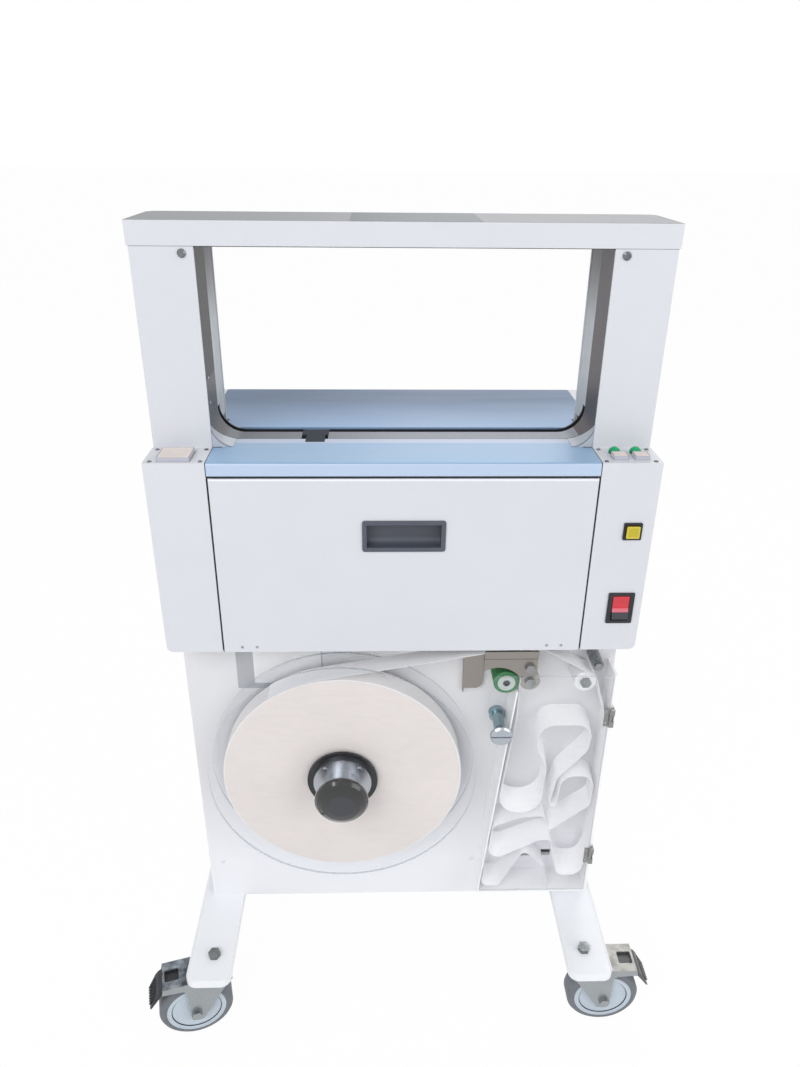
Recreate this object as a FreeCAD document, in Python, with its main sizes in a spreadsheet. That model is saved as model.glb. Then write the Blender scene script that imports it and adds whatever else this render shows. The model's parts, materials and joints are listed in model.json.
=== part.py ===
"""Arch strapping machine for banknote bundles, on a stand with four casters.

Units are millimetres. The front faces -Y, +Z is up, and the origin is on the floor,
midway between the four casters.
"""
import FreeCAD, Part
import math
import os
from types import SimpleNamespace
import Sketcher

Vector = FreeCAD.Vector
Rotation = FreeCAD.Rotation
Placement = FreeCAD.Placement

DIMENSIONS = {
    # main levels and depths
    "table_height": 830.0,
    "head_height": 240.0,
    "pod_width": 66.0,
    "head_reach": 120.0,
    "plate_setback": 43.0,
    "plate_thickness": 6.0,
    "plate_width": 546.0,
    "plate_top_gap": 22.0,
    "column_depth": 101.0,
    "column_inset": 1.0,
    "arch_width": 428.0,
    "arch_height": 214.0,
    "beam_height": 24.5,
    "beam_overhang": 1.0,
    "beam_corner": 12.0,
    "rear_depth": 136.0,
    "rear_corner": 5.0,
    "sheet": 1.5,
    "column_sheet": 2.0,
    "gap": 0.3,
    "run_clearance": 0.05,
    # stand
    "foot_top": 130.0,
    "foot_width": 60.0,
    "foot_length": 430.0,
    "foot_centres": 518.0,
    "foot_depth": 14.0,
    "foot_skin": 4.0,
    "foot_wall": 3.0,
    "foot_corner": 14.0,
    "foot_bevel": 4.5,
    "pedestal_width": 540.0,
    "pedestal_depth": 188.0,
    # casters
    "caster_centres_x": 510.0,
    "caster_centres_y": 354.0,
    "caster_trail": 32.5,
    "wheel_radius": 50.0,
    "wheel_width": 32.0,
    "tyre_depth": 10.0,
    "tyre_shoulder": 6.0,
    "disc_recess": 2.0,
    "disc_ring_radius": 33.0,
    "hub_radius": 12.0,
    "axle_radius": 6.0,
    "axle_head_radius": 7.0,
    "axle_head": 5.0,
    "fork_sheet": 3.0,
    "fork_top": 112.0,
    "fork_front": 20.0,
    "fork_edge": 41.0,
    "fork_foot": 36.0,
    "fork_arm": 74.0,
    "fork_arm_drop": 12.0,
    "swivel_radius": 20.5,
    "bolt_radius": 5.0,
    "bolt_head_radius": 8.5,
    "bolt_head": 6.0,
    "nut_height": 7.0,
    "pedal_pin_radius": 2.0,
    "pedal_reach": 82.0,
    "pedal_rib": 1.2,
    "pedal_flare": 10.0,
    "pedal_drop": 29.0,
    # reel
    "reel_x": -76.0,
    "reel_height": 389.0,
    "reel_front": 118.0,
    "disc_radius": 174.0,
    "disc_thickness": 3.0,
    "roll_radius": 155.0,
    "roll_side_gap": 0.15,
    "tape_width": 30.0,
    "core_radius": 37.5,
    "core_wall": 3.5,
    "core_boss": 14.0,
    "flange_radius": 45.5,
    "flange_thickness": 4.0,
    "clamp_thickness": 4.0,
    "hub_nose_radius": 23.0,
    "hub_nose": 16.0,
    "spindle_radius": 6.0,
    "spindle_flange": 20.0,
    "knob_radius": 34.0,
    "knob_face_radius": 16.5,
    "knob_length": 26.0,
    "knob_stud_radius": 5.0,
    "knob_stud": 13.0,
    # rollers and their bracket
    "feed_x": 130.0,
    "roller_drop": 55.0,
    "feed_radius": 16.0,
    "feed_hub_radius": 11.0,
    "feed_front": 112.0,
    "pinch_front": 109.0,
    "guide_front": 110.0,
    "nip_gap": 1.0,
    "pinch_radius": 12.8,
    "guide_x": 229.0,
    "guide_radius": 14.0,
    "roller_back_gap": 2.0,
    "roller_pin_radius": 4.0,
    "roller_bore_clearance": 0.05,
    "bracket_left": 100.0,
    "bracket_right": 165.5,
    "bracket_rise": 14.5,
    "bracket_top_drop": 3.0,
    "bracket_bend_drop": 16.0,
    "bracket_front": 117.0,
    "bracket_sheet": 3.0,
    "bracket_notch_x": 118.0,
    "bracket_notch_drop": 5.0,
    "bracket_notch_radius": 32.0,
    "bracket_bolt_x": 156.7,
    "bracket_bolt_rise": 26.4,
    "bracket_post_x": 112.0,
    "bracket_post_rise": 37.0,
    "sensor_left": 79.0,
    "sensor_right": 104.5,
    "sensor_drop": 20.0,
    "sensor_length": 63.0,
    "tape_pin_drop": 11.6,
    "tape_pin_radius": 8.0,
    "tape_thickness": 0.4,
    "tape_exit_length": 78.0,
    "exit_post_offset": 14.0,
    "exit_post_rise": 23.0,
    "exit_post_radius": 7.5,
    # tape box and its door
    "door_left": 113.0,
    "door_right": 262.0,
    "door_bottom": 178.0,
    "door_rise": 13.0,
    "door_front": 118.0,
    "door_thickness": 3.0,
    "door_corner": 5.0,
    "box_wall": 3.0,
    "box_left_top": 143.0,
    "box_left_bottom": 110.5,
    "box_left_drop": 12.0,
    "box_floor": 175.0,
    "door_hinge_upper": 486.0,
    "door_hinge_lower": 247.0,
    "door_hinge_length": 27.0,
    "door_leaf_width": 6.0,
    "door_knuckle_radius": 2.2,
    "latch_x": 126.0,
    "latch_height": 464.0,
    "latch_post_radius": 7.5,
    "latch_head_radius": 14.0,
    "latch_head": 11.0,
    "latch_shank_radius": 4.0,
    "latch_entry": 3.0,
    "latch_tip_radius": 2.4,
    "latch_tip_clearance": 2.4,
    # drop panel
    "panel_gap": 1.5,
    "panel_bottom": 589.5,
    "panel_top": 811.6,
    "panel_flange": 14.0,
    "panel_hinge_margin": 32.0,
    "panel_hinge_length": 36.0,
    "panel_hinge_inset": 3.7,
    "panel_hinge_rise": 2.8,
    "panel_knuckle_radius": 2.0,
    "hinge_pin_radius": 1.0,
    "handle_width": 93.5,
    "handle_height": 38.0,
    "handle_middle": 743.0,
    "handle_depth": 15.0,
    "handle_rim": 3.0,
    # tables and arch lining
    "table_depth": 77.7,
    "table_side_gap": 0.5,
    "table_lip": 15.7,
    "table_hem": 3.0,
    "table_notch_width": 10.5,
    "table_notch_depth": 29.0,
    "band_front": 78.0,
    "band_width": 26.0,
    "band_sheet": 1.5,
    "arch_corner": 30.0,
    "arch_top_corner": 3.0,
    "track_width": 64.0,
    "track_depth": 10.0,
    "track_wall": 2.0,
    "flap_width": 43.7,
    "flap_sheet": 1.2,
    "flap_end": 10.0,
    "slot_width": 15.0,
    "rear_table_width": 468.0,
    "rear_table_neck": 422.0,
    "rear_table_margin": 5.0,
    "rear_table_lip": 8.0,
    "head_block_left": -117.0,
    "head_block_right": -87.0,
    "head_die_left": -111.6,
    "head_die_right": -90.0,
    "head_die_front": 68.0,
    "head_die_back": 91.0,
    "head_block_back": 110.0,
    "head_block_depth": 30.0,
    # switches and lamps
    "start_offset": 1.0,
    "start_setback": 21.0,
    "start_width": 35.0,
    "start_length": 33.5,
    "key_rise": 4.5,
    "key_travel": 2.5,
    "key_width": 16.0,
    "key_setback": 17.0,
    "key_offset": 0.75,
    "key_spacing": 23.5,
    "lamp_setback": 32.0,
    "lamp_offset": -1.25,
    "lamp_radius": 6.5,
    "button_inset": 23.5,
    "button_height": 748.3,
    "button_bezel": 21.0,
    "button_cap": 15.0,
    "rocker_inset": 25.0,
    "rocker_height": 648.4,
    "rocker_bezel_width": 30.7,
    "rocker_bezel_height": 40.7,
    "rocker_width": 19.0,
    "rocker_length": 29.0,
    "rocker_tilt": 8.0,
    "rocker_depth": 9.0,
    "rocker_pin_radius": 2.0,
    "rocker_pin": 2.0,
    "bezel_rise": 1.6,
    "switch_wall": 1.2,
    "switch_depth": 20.0,
    # drive
    "gear_module": 1.5,
    "gear_teeth": 48.0,
    "pinion_teeth": 16.0,
    "gear_x": -101.0,
    "gear_drop": 130.0,
    "gear_face": 8.0,
    "gear_setback": 10.0,
    "gear_backlash": 0.25,
    "drive_shaft_radius": 5.0,
    "motor_radius": 30.0,
    "motor_length": 80.0,
    "board_left": 70.0,
    "board_width": 120.0,
    "board_bottom": 640.0,
    "board_height": 120.0,
    # rear fittings
    "inlet_x": 200.0,
    "inlet_height": 640.0,
    "vent_length": 60.0,
    "vent_width": 4.0,
    "vent_pitch": 12.0,
    "screw_radius": 4.5,
    "screw_head": 2.5,
}


class Size:
    """A length that carries its value and the spreadsheet expression behind it."""

    def __init__(self, value, text):
        self.value = value
        self.text = text

    def __add__(self, other):
        other = as_size(other)
        return Size(self.value + other.value, f"({self.text} + {other.text})")

    def __sub__(self, other):
        other = as_size(other)
        return Size(self.value - other.value, f"({self.text} - {other.text})")

    def __mul__(self, other):
        other = as_size(other)
        return Size(self.value * other.value, f"({self.text} * {other.text})")

    def __truediv__(self, other):
        other = as_size(other)
        return Size(self.value / other.value, f"({self.text} / {other.text})")

    def __neg__(self):
        return Size(-self.value, f"(0 - {self.text})")

    __radd__ = __add__
    __rmul__ = __mul__

    def __rsub__(self, other):
        return as_size(other) - self


def as_size(length):
    """Wrap a plain number, so that it mixes with named sizes."""
    if isinstance(length, Size):
        return length
    return Size(float(length), f"({float(length)})")


doc = FreeCAD.newDocument("strapping_machine")
sheet = doc.addObject("Spreadsheet::Sheet", "sizes")
for row, (alias, number) in enumerate(DIMENSIONS.items(), start=1):
    sheet.set(f"A{row}", alias)
    sheet.set(f"B{row}", str(number))
    sheet.setAlias(f"B{row}", alias)
doc.recompute()
size = SimpleNamespace(**{alias: Size(number, f"sizes.{alias}") for alias, number in DIMENSIONS.items()})

NODES = []


# ---------------------------------------------------------------- building blocks

def node(name, obj):
    """Name a finished sub-part and list it for writing."""
    obj.Label = name
    NODES.append(obj)
    return obj


def place(obj, x, y, z, rotation=None):
    """Bind an object's position to sizes, after its constant rotation."""
    if rotation is not None:
        obj.Placement = Placement(Vector(), rotation)
    for axis, length in zip("xyz", (x, y, z)):
        obj.setExpression(f"Placement.Base.{axis}", as_size(length).text)
    return obj


def box(name, across, along, up):
    """A block between two limits on each of X, Y and Z."""
    block = doc.addObject("Part::Box", name)
    for side, (low, high) in zip(("Length", "Width", "Height"), (across, along, up)):
        block.setExpression(side, (as_size(high) - low).text)
    return place(block, across[0], along[0], up[0])


UPRIGHT = {"x": Rotation(Vector(0, 1, 0), 90), "y": Rotation(Vector(1, 0, 0), -90), "z": Rotation()}


def rod(name, axis, radius, centre, limits):
    """A cylinder along an axis, with its centre on the other two axes and its two ends."""
    cylinder = doc.addObject("Part::Cylinder", name)
    cylinder.setExpression("Radius", as_size(radius).text)
    cylinder.setExpression("Height", (as_size(limits[1]) - limits[0]).text)
    start = list(centre)
    start.insert("xyz".index(axis), limits[0])
    return place(cylinder, *start, UPRIGHT[axis])


def hexagon(name, axis, radius, centre, limits):
    """A six-sided bolt head or nut; the radius reaches its corners."""
    prism = doc.addObject("Part::Prism", name)
    prism.Polygon = 6
    prism.setExpression("Circumradius", as_size(radius).text)
    prism.setExpression("Height", (as_size(limits[1]) - limits[0]).text)
    start = list(centre)
    start.insert("xyz".index(axis), limits[0])
    return place(prism, *start, UPRIGHT[axis])


def fuse(name, *pieces):
    """One solid from pieces that meet."""
    joined = doc.addObject("Part::MultiFuse", name)
    joined.Shapes = list(pieces)
    joined.Refine = True
    return joined


def cut(name, base, *tools):
    """A piece with its hollows and holes taken away."""
    result = doc.addObject("Part::Cut", name)
    result.Base = base
    if len(tools) > 1:
        group = doc.addObject("Part::MultiFuse", f"{name}_tools")
        group.Shapes = list(tools)
        result.Tool = group
    else:
        result.Tool = tools[0]
    result.Refine = True
    return result


def group(name, *pieces):
    """Separate solids that belong to one sub-part."""
    compound = doc.addObject("Part::Compound", name)
    compound.Links = list(pieces)
    return compound


def mirrored(name, source):
    """The same piece on the other side of the machine."""
    twin = doc.addObject("Part::Mirroring", name)
    twin.Source = source
    twin.Base = Vector(0, 0, 0)
    twin.Normal = Vector(1, 0, 0)
    return twin


def outline_sketch(body, plane_role, corners):
    """A closed outline whose corners are tied to the body's origin."""
    plane = next(item for item in body.Origin.OriginFeatures if item.Role == plane_role)
    sketch = body.newObject("Sketcher::SketchObject", f"{body.Name}_outline")
    sketch.AttachmentSupport = [(plane, "")]
    sketch.MapMode = "FlatFace"
    corners = [(as_size(a), as_size(b)) for a, b in corners]
    count = len(corners)
    for index, (a, b) in enumerate(corners):
        after = corners[(index + 1) % count]
        start = Vector(a.value, b.value, 0)
        end = Vector(after[0].value, after[1].value, 0)
        sketch.addGeometry(Part.LineSegment(start, end), False)
    for index in range(count):
        sketch.addConstraint(Sketcher.Constraint("Coincident", index, 2, (index + 1) % count, 1))
    for index, corner in enumerate(corners):
        for kind, length in zip(("DistanceX", "DistanceY"), corner):
            number = sketch.addConstraint(Sketcher.Constraint(kind, -1, 1, index, 1, length.value))
            sketch.setExpression(f"Constraints[{number}]", length.text)
    return sketch


PLANES = {"x": ("YZ_Plane", "yz"), "y": ("XZ_Plane", "xz"), "z": ("XY_Plane", "xy")}


def padded(name, axis, corners, limits, rounds=()):
    """A body: an outline padded along an axis between two limits.

    rounds holds pairs of a radius and the corner numbers that it rounds.
    """
    body = doc.addObject("PartDesign::Body", name)
    role, plane_axes = PLANES[axis]
    pad = body.newObject("PartDesign::Pad", f"{name}_pad")
    pad.Profile = outline_sketch(body, role, corners)
    pad.setExpression("Length", (as_size(limits[1]) - limits[0]).text)
    tip = pad
    for radius, numbers in rounds:
        tip.recompute(True)
        chosen = []
        for count, edge in enumerate(tip.Shape.Edges, start=1):
            middle = edge.CenterOfMass
            for number in numbers:
                ends = zip(plane_axes, corners[number])
                if math.hypot(*(getattr(middle, way) - as_size(length).value for way, length in ends)) < 0.001:
                    chosen.append(f"Edge{count}")
        fillet = body.newObject("PartDesign::Fillet", f"{name}_round")
        fillet.Base = (tip, chosen)
        fillet.setExpression("Radius", as_size(radius).text)
        tip = fillet
    base = [0, 0, 0]
    base["xyz".index(axis)] = limits[1] if axis == "y" else limits[0]
    return place(body, *base)


def rectangle(across, along):
    """Four corners, counter-clockwise."""
    return [(across[0], along[0]), (across[1], along[0]), (across[1], along[1]), (across[0], along[1])]


def block(name, axis, first, second, limits, radius, numbers=(0, 1, 2, 3)):
    """A padded rectangle with rounded corners."""
    return padded(name, axis, rectangle(first, second), limits, [(radius, numbers)])


def turned(name, outline, axis, centre, start):
    """A body of revolution: an outline of (radius, height) pairs about an axis, from a start."""
    body = doc.addObject("PartDesign::Body", name)
    sketch = outline_sketch(body, "XZ_Plane", outline)
    revolution = body.newObject("PartDesign::Revolution", f"{name}_revolution")
    revolution.Profile = sketch
    revolution.ReferenceAxis = (sketch, ["V_Axis"])
    revolution.Angle = 360
    base = list(centre)
    base.insert("xyz".index(axis), start)
    return place(body, *base, UPRIGHT[axis])


# ---------------------------------------------------------------- levels shared by many pieces

front_y = -size.head_reach
plate_front = front_y + size.plate_setback
plate_back = plate_front + size.plate_thickness
column_back = plate_back + size.column_depth
rear_y = column_back + size.rear_depth
half_arch = size.arch_width / 2
half_head = half_arch + size.pod_width
pod_middle = half_arch + size.pod_width / 2
half_plate = size.plate_width / 2
head_bottom = size.table_height - size.head_height
table_under = size.table_height - size.sheet
plate_top = size.table_height - size.plate_top_gap
beam_bottom = size.table_height + size.arch_height
beam_top = beam_bottom + size.beam_height
track_front = front_y + size.band_front
track_back = track_front + size.track_width
track_x = half_arch + size.band_sheet + 0.5
slot_front = track_front + size.band_width
slot_back = slot_front + size.slot_width
gear_height = size.table_height - size.gear_drop
rocker_pivot_y = front_y + size.rocker_depth - size.bezel_rise - 0.5
start_x = pod_middle + size.start_offset
key_places = [pod_middle + size.key_offset + side * size.key_spacing / 2 for side in (-1, 1)]
lamp_places = [pod_middle + size.lamp_offset + side * size.key_spacing / 2 for side in (-1, 1)]
button_x = half_head - size.button_inset
rocker_x = half_head - size.rocker_inset
roller_height = head_bottom - size.roller_drop
door_top = roller_height + size.door_rise
box_left_top = roller_height - size.box_left_drop
bracket_bottom = roller_height + size.bracket_rise
bracket_top = head_bottom - size.bracket_top_drop
bracket_bend = head_bottom - size.bracket_bend_drop
bracket_bolt = (size.bracket_bolt_x, roller_height + size.bracket_bolt_rise)


# ---------------------------------------------------------------- stand

def build_feet():
    """Two long trays, open below, that carry the machine and its casters."""
    inner = (size.foot_centres - size.foot_width) / 2
    outer = inner + size.foot_width
    half = size.foot_length / 2
    bottom = size.foot_top - size.foot_depth
    blank = block("foot_blank", "z", (inner, outer), (-half, half), (bottom, size.foot_top), size.foot_corner)
    bevel = padded("foot_bevel", "y", [
        (outer + 1, size.foot_top + 1),
        (outer - size.foot_bevel, size.foot_top + 1),
        (outer - size.foot_bevel, size.foot_top),
        (outer, size.foot_top - size.foot_bevel),
        (outer + 1, size.foot_top - size.foot_bevel),
    ], (-half, half))
    hollow = block("foot_hollow", "z", (inner + size.foot_wall, outer - size.foot_wall),
                   (size.foot_wall - half, half - size.foot_wall),
                   (bottom - 1, size.foot_top - size.foot_skin), size.foot_corner - size.foot_wall)
    holes = [rod("foot_hole", "z", size.bolt_radius, (size.caster_centres_x / 2, y),
                 (bottom, size.foot_top + 1)) for y in caster_rows()]
    right = cut("foot_tray", blank, bevel, hollow, *holes)
    node("feet", group("feet", right, mirrored("foot_twin", right)))


def caster_rows():
    """The front and rear lines of casters."""
    return (-size.caster_centres_y / 2, size.caster_centres_y / 2)


def build_caster_bolts():
    """One bolt with its nut holds each swivel head under its foot."""
    bolts = []
    crown_bottom = size.fork_top - size.fork_sheet
    nut_top = crown_bottom - size.gap
    for x in (-size.caster_centres_x / 2, size.caster_centres_x / 2):
        for y in caster_rows():
            head = hexagon("bolt_head", "z", size.bolt_head_radius, (x, y),
                           (size.foot_top, size.foot_top + size.bolt_head))
            shank = rod("bolt_shank", "z", size.bolt_radius, (x, y), (nut_top, size.foot_top))
            nut = hexagon("bolt_nut", "z", size.bolt_head_radius, (x, y),
                          (nut_top - size.nut_height, nut_top))
            bolts.append(fuse("caster_bolt", head, shank, nut))
    node("caster_bolts", group("caster_bolts", *bolts))


def build_main_plate():
    """The upright plate that carries the reel, the rollers, the tape box and the drive."""
    plate = box("plate_blank", (-half_plate, half_plate), (plate_front, plate_back),
                (size.foot_top, plate_top))
    through = (plate_front - 1, plate_back + 1)
    feed_hole = rod("feed_hole", "y", size.drive_shaft_radius + size.run_clearance,
                    (size.feed_x, roller_height), through)
    gear_hole = rod("gear_hole", "y", size.drive_shaft_radius + size.run_clearance,
                    (size.gear_x, gear_height), through)
    pinion_hole = rod("pinion_hole", "y", size.drive_shaft_radius + size.run_clearance,
                      (pinion_x(), gear_height), through)
    slot = box("level_slot", (175, 220.5), through, (202, 214))
    cable_hole = block("cable_hole", "y", (-30, 30), (760, 790), through, 8)
    node("main_plate", cut("main_plate", plate, feed_hole, gear_hole, pinion_hole, slot, cable_hole))


def pinion_x():
    """Centre distance of the gear pair, from module and teeth."""
    return size.gear_x + size.gear_module * (size.gear_teeth + size.pinion_teeth) / 2


def build_pedestal():
    """A sheet box behind the main plate, open to the front and top."""
    half = size.pedestal_width / 2
    back = plate_back + size.pedestal_depth
    outer = block("pedestal_outer", "z", (-half, half), (plate_back, back), (size.foot_top, head_bottom),
                  size.rear_corner, (2, 3))
    inner = box("pedestal_inner", (size.sheet - half, half - size.sheet),
                (plate_back - 1, back - size.sheet), (size.foot_top + size.sheet, head_bottom + 1))
    node("pedestal_cover", cut("pedestal_cover", outer, inner))


# ---------------------------------------------------------------- casters

def caster(name, side, row, turn, braked):
    """A swivel fork with its wheel; the wheel trails along the fork's own +X before turning."""
    spot = (side * size.caster_centres_x / 2, row, 0)
    rotation = Rotation(Vector(0, 0, 1), turn)
    leg_inner = size.wheel_width / 2 + size.disc_recess + size.gap
    leg_outer = leg_inner + size.fork_sheet
    crown_bottom = size.fork_top - size.fork_sheet
    arm_end = size.fork_arm if braked else size.fork_edge
    axle = (size.caster_trail, size.wheel_radius)

    leg_outline = [
        (-size.fork_front, size.fork_top),
        (-size.fork_front, crown_bottom - 6),
        (-size.fork_front / 3, size.fork_top - 25),
        (size.fork_edge - 17, size.fork_foot),
        (size.fork_edge, size.fork_foot),
        (size.fork_edge, size.fork_top - size.fork_arm_drop - 4),
    ]
    if braked:
        leg_outline.append((size.fork_edge + 6, size.fork_top - size.fork_arm_drop))
        leg_outline.append((arm_end, size.fork_top - size.fork_arm_drop + 2))
        leg_outline.append((arm_end - 2, size.fork_top))
        last = 8
    else:
        leg_outline.append((size.fork_edge - 3, size.fork_top))
        last = 6
    rounds = [(7, (3, 4)), (18, (2,))]
    legs = [padded(f"{name}_leg", "y", leg_outline, limits, rounds)
            for limits in ((-leg_outer, -leg_inner), (leg_inner, leg_outer))]
    top_end = leg_outline[last][0]
    crown = block(f"{name}_crown", "z", (-size.swivel_radius - 1.5, top_end), (-leg_outer, leg_outer),
                  (crown_bottom, size.fork_top), 18, (0, 3))
    head = turned(f"{name}_head", [
        (0, 0), (size.swivel_radius, 0), (size.swivel_radius, 5), (size.swivel_radius - 2, 7),
        (size.swivel_radius - 2, 9), (size.swivel_radius - 4, size.foot_top - size.foot_skin - size.gap - size.fork_top),
        (0, size.foot_top - size.foot_skin - size.gap - size.fork_top),
    ], "z", (0, 0), size.fork_top)
    tools = [rod(f"{name}_bore", "z", size.bolt_radius + size.run_clearance, (0, 0),
                 (crown_bottom - 1, size.foot_top)),
             rod(f"{name}_axle_hole", "y", size.axle_radius, axle, (-leg_outer - 1, leg_outer + 1))]
    if braked:
        tools.append(block(f"{name}_window", "z", (size.fork_arm - 24, size.fork_arm - 5), (-9, 9),
                           (crown_bottom - 1, size.fork_top + 1), 2))
    frame = cut(f"{name}_frame", fuse(f"{name}_sheet", *legs, crown, head), *tools)
    head_out = leg_outer + size.axle_head
    bolt = fuse(f"{name}_axle",
                rod(f"{name}_pin", "y", size.axle_radius, axle, (-leg_outer, leg_outer)),
                hexagon(f"{name}_axle_head", "y", size.axle_head_radius, axle, (-head_out, -leg_outer)),
                hexagon(f"{name}_axle_nut", "y", size.axle_head_radius, axle, (leg_outer, head_out)))
    pieces = [frame, bolt]
    if braked:
        pin_reach = leg_inner
        pieces.append(rod(f"{name}_pedal_pin", "y", size.pedal_pin_radius, pedal_pivot(),
                          (-pin_reach, pin_reach)))
    fork = group(f"{name}_fork", *pieces)
    node(f"{name}_fork", place(fork, *spot, rotation))
    build_wheel(name, spot, rotation, axle)
    if braked:
        build_pedal(name, spot, rotation, leg_inner - 0.4)


def pedal_pivot():
    """Where the brake pedal turns in the fork's arm."""
    return (size.fork_arm - 20, size.fork_top - size.fork_arm_drop + 3.5)


def build_wheel(name, spot, rotation, axle):
    """A grey rubber tyre on a pale disc with a bored hub."""
    half = size.wheel_width / 2
    rim = size.wheel_radius - size.tyre_depth
    bore = size.axle_radius + size.run_clearance
    ring = size.disc_ring_radius
    hub = half + size.disc_recess
    disc = turned(f"{name}_disc", [
        (bore, -hub), (size.hub_radius, -hub), (size.hub_radius, size.disc_recess - half),
        (ring, size.disc_recess - half), (ring, size.disc_recess - half + 1),
        (ring + 1, size.disc_recess - half + 1), (ring + 1, 1 - half), (rim, 1 - half),
        (rim, half - 1), (ring + 1, half - 1), (ring + 1, half - size.disc_recess - 1),
        (ring, half - size.disc_recess - 1), (ring, half - size.disc_recess),
        (size.hub_radius, half - size.disc_recess), (size.hub_radius, hub), (bore, hub),
    ], "y", axle, 0)
    shoulder = size.tyre_shoulder
    tyre = turned(f"{name}_tyre", [
        (rim, -half + 1), (rim + 1, -half), (size.wheel_radius - shoulder, -half),
        (size.wheel_radius - 2, shoulder / 2 - half), (size.wheel_radius, shoulder - half),
        (size.wheel_radius, half - shoulder), (size.wheel_radius - 2, half - shoulder / 2),
        (size.wheel_radius - shoulder, half), (rim + 1, half), (rim, half - 1),
    ], "y", axle, 0)
    wheel = group(f"{name}_wheel", disc, tyre)
    node(f"{name}_wheel", place(wheel, *spot, rotation))


def build_pedal(name, spot, rotation, half):
    """A moulded brake pedal that droops beyond the wheel, with ribs across its skirt."""
    top = size.fork_top - size.fork_sheet - 2
    reach = size.pedal_reach
    body = padded(f"{name}_pedal_body", "y", [
        (size.fork_edge + 5, top), (size.fork_arm - 2, top), (reach - 4, top - 4), (reach, top - 9),
        (reach + size.pedal_flare, top - size.pedal_drop), (reach + size.pedal_flare - 2, top - size.pedal_drop),
        (reach - 4, top - 13), (reach - 9, top - 7),
        (size.fork_arm - 10, top - 6), (size.fork_arm - 14, top - 10.5), (size.fork_edge + 10, top - 9.5),
        (size.fork_edge + 5, top - 7),
    ], (-half, half))
    ribs = [padded(f"{name}_rib", "y", [
        (reach - 2, top - 10), (reach, top - 9), (reach + size.pedal_rib, top - 9),
        (reach + size.pedal_flare + size.pedal_rib, top - size.pedal_drop + 3),
        (reach + size.pedal_flare - 2, top - size.pedal_drop + 3),
    ], (offset, offset + 1.5)) for offset in (-12.75, -8.75, -4.75, -0.75, 3.25, 7.25, 11.25)]
    bore = rod(f"{name}_pedal_bore", "y", size.pedal_pin_radius + size.run_clearance, pedal_pivot(),
               (-half - 1, half + 1))
    pedal = cut(f"{name}_pedal", fuse(f"{name}_ribbed", body, *ribs), bore)
    node(f"{name}_pedal", place(pedal, *spot, rotation))


def build_casters():
    """Braked casters in front, plain ones behind, all trailing outward."""
    front, rear = caster_rows()
    caster("front_left", -1, front, 180 + CASTER_TURN, True)
    caster("front_right", 1, front, 0, True)
    caster("rear_left", -1, rear, 180, False)
    caster("rear_right", 1, rear, CASTER_TURN, False)


CASTER_TURN = 15


# ---------------------------------------------------------------- reel

def build_reel():
    """Two clear discs, the paper roll between them, and the hub that clamps them."""
    centre = (size.reel_x, size.reel_height)
    disc_front = -size.reel_front
    roll_front = disc_front + size.disc_thickness
    roll_back = roll_front + size.tape_width
    hub_back = roll_back + size.disc_thickness
    discs = []
    for start in (disc_front, roll_back):
        discs.append(turned("reel_disc", [
            (size.core_radius, 0), (size.disc_radius, 0), (size.disc_radius, size.disc_thickness),
            (size.core_radius, size.disc_thickness),
        ], "y", centre, start))
    node("reel_discs", group("reel_discs", *discs))
    wound = size.tape_width - 2 * size.roll_side_gap
    node("tape_roll", turned("tape_roll", [
        (size.core_radius, 0), (size.roll_radius, 0), (size.roll_radius, wound), (size.core_radius, wound),
    ], "y", centre, roll_front + size.roll_side_gap))

    nose = size.hub_nose
    clamp = nose + size.clamp_thickness
    flange = clamp + size.flange_thickness
    length = flange + size.disc_thickness * 2 + size.tape_width
    hub_front = hub_back - length
    spindle_bore = size.spindle_radius + size.run_clearance
    stud_bore = size.knob_stud_radius + size.run_clearance
    recess = flange + 6
    hub = turned("hub_body", [
        (stud_bore, 0), (size.hub_nose_radius, 0), (size.hub_nose_radius, nose), (size.core_radius, nose),
        (size.core_radius, clamp), (size.flange_radius, clamp), (size.flange_radius, flange),
        (size.core_radius, flange), (size.core_radius, length), (size.core_radius - size.core_wall, length),
        (size.core_radius - size.core_wall, recess), (size.core_boss, recess), (size.core_boss, length),
        (spindle_bore, length), (spindle_bore, clamp + 1.7), (stud_bore, clamp + 1.7),
    ], "y", centre, hub_front)
    screws = [rod("clamp_screw", "y", 3.5, (size.reel_x + dx, size.reel_height + dz),
                  (hub_front + nose - 1.6, hub_front + nose + 1))
              for dx in (-22, 22) for dz in (-22, 22)]
    node("reel_hub", fuse("reel_hub", hub, *screws))

    flange_back = plate_front
    node("reel_spindle", turned("reel_spindle", [
        (0, 0), (size.spindle_radius, 0), (size.spindle_radius, flange_back - 3 - hub_front - clamp - 2),
        (size.spindle_flange, flange_back - 3 - hub_front - clamp - 2),
        (size.spindle_flange, flange_back - hub_front - clamp - 2), (0, flange_back - hub_front - clamp - 2),
    ], "y", centre, hub_front + clamp + 2))

    knob = size.knob_length
    widest = size.knob_radius
    face = size.knob_face_radius
    node("reel_knob", turned("reel_knob", [
        (0, 0), (face, 0), (face + 8, 1.5), (widest - 3, 5), (widest, 9), (widest, 13), (widest - 3, 18),
        (widest - 10, knob - 3), (face, knob - 0.3), (size.knob_stud_radius, knob - 0.3),
        (size.knob_stud_radius, knob + size.knob_stud), (0, knob + size.knob_stud),
    ], "y", centre, hub_front - knob))


# ---------------------------------------------------------------- rollers

roller_back = plate_front - size.roller_back_gap
pinch_x = size.feed_x + size.feed_radius + size.nip_gap + size.pinch_radius
nip_x = size.feed_x + size.feed_radius + size.nip_gap / 2
tape_pin = (nip_x - size.tape_pin_radius - size.gap - size.tape_thickness / 2, head_bottom - size.tape_pin_drop)


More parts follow.
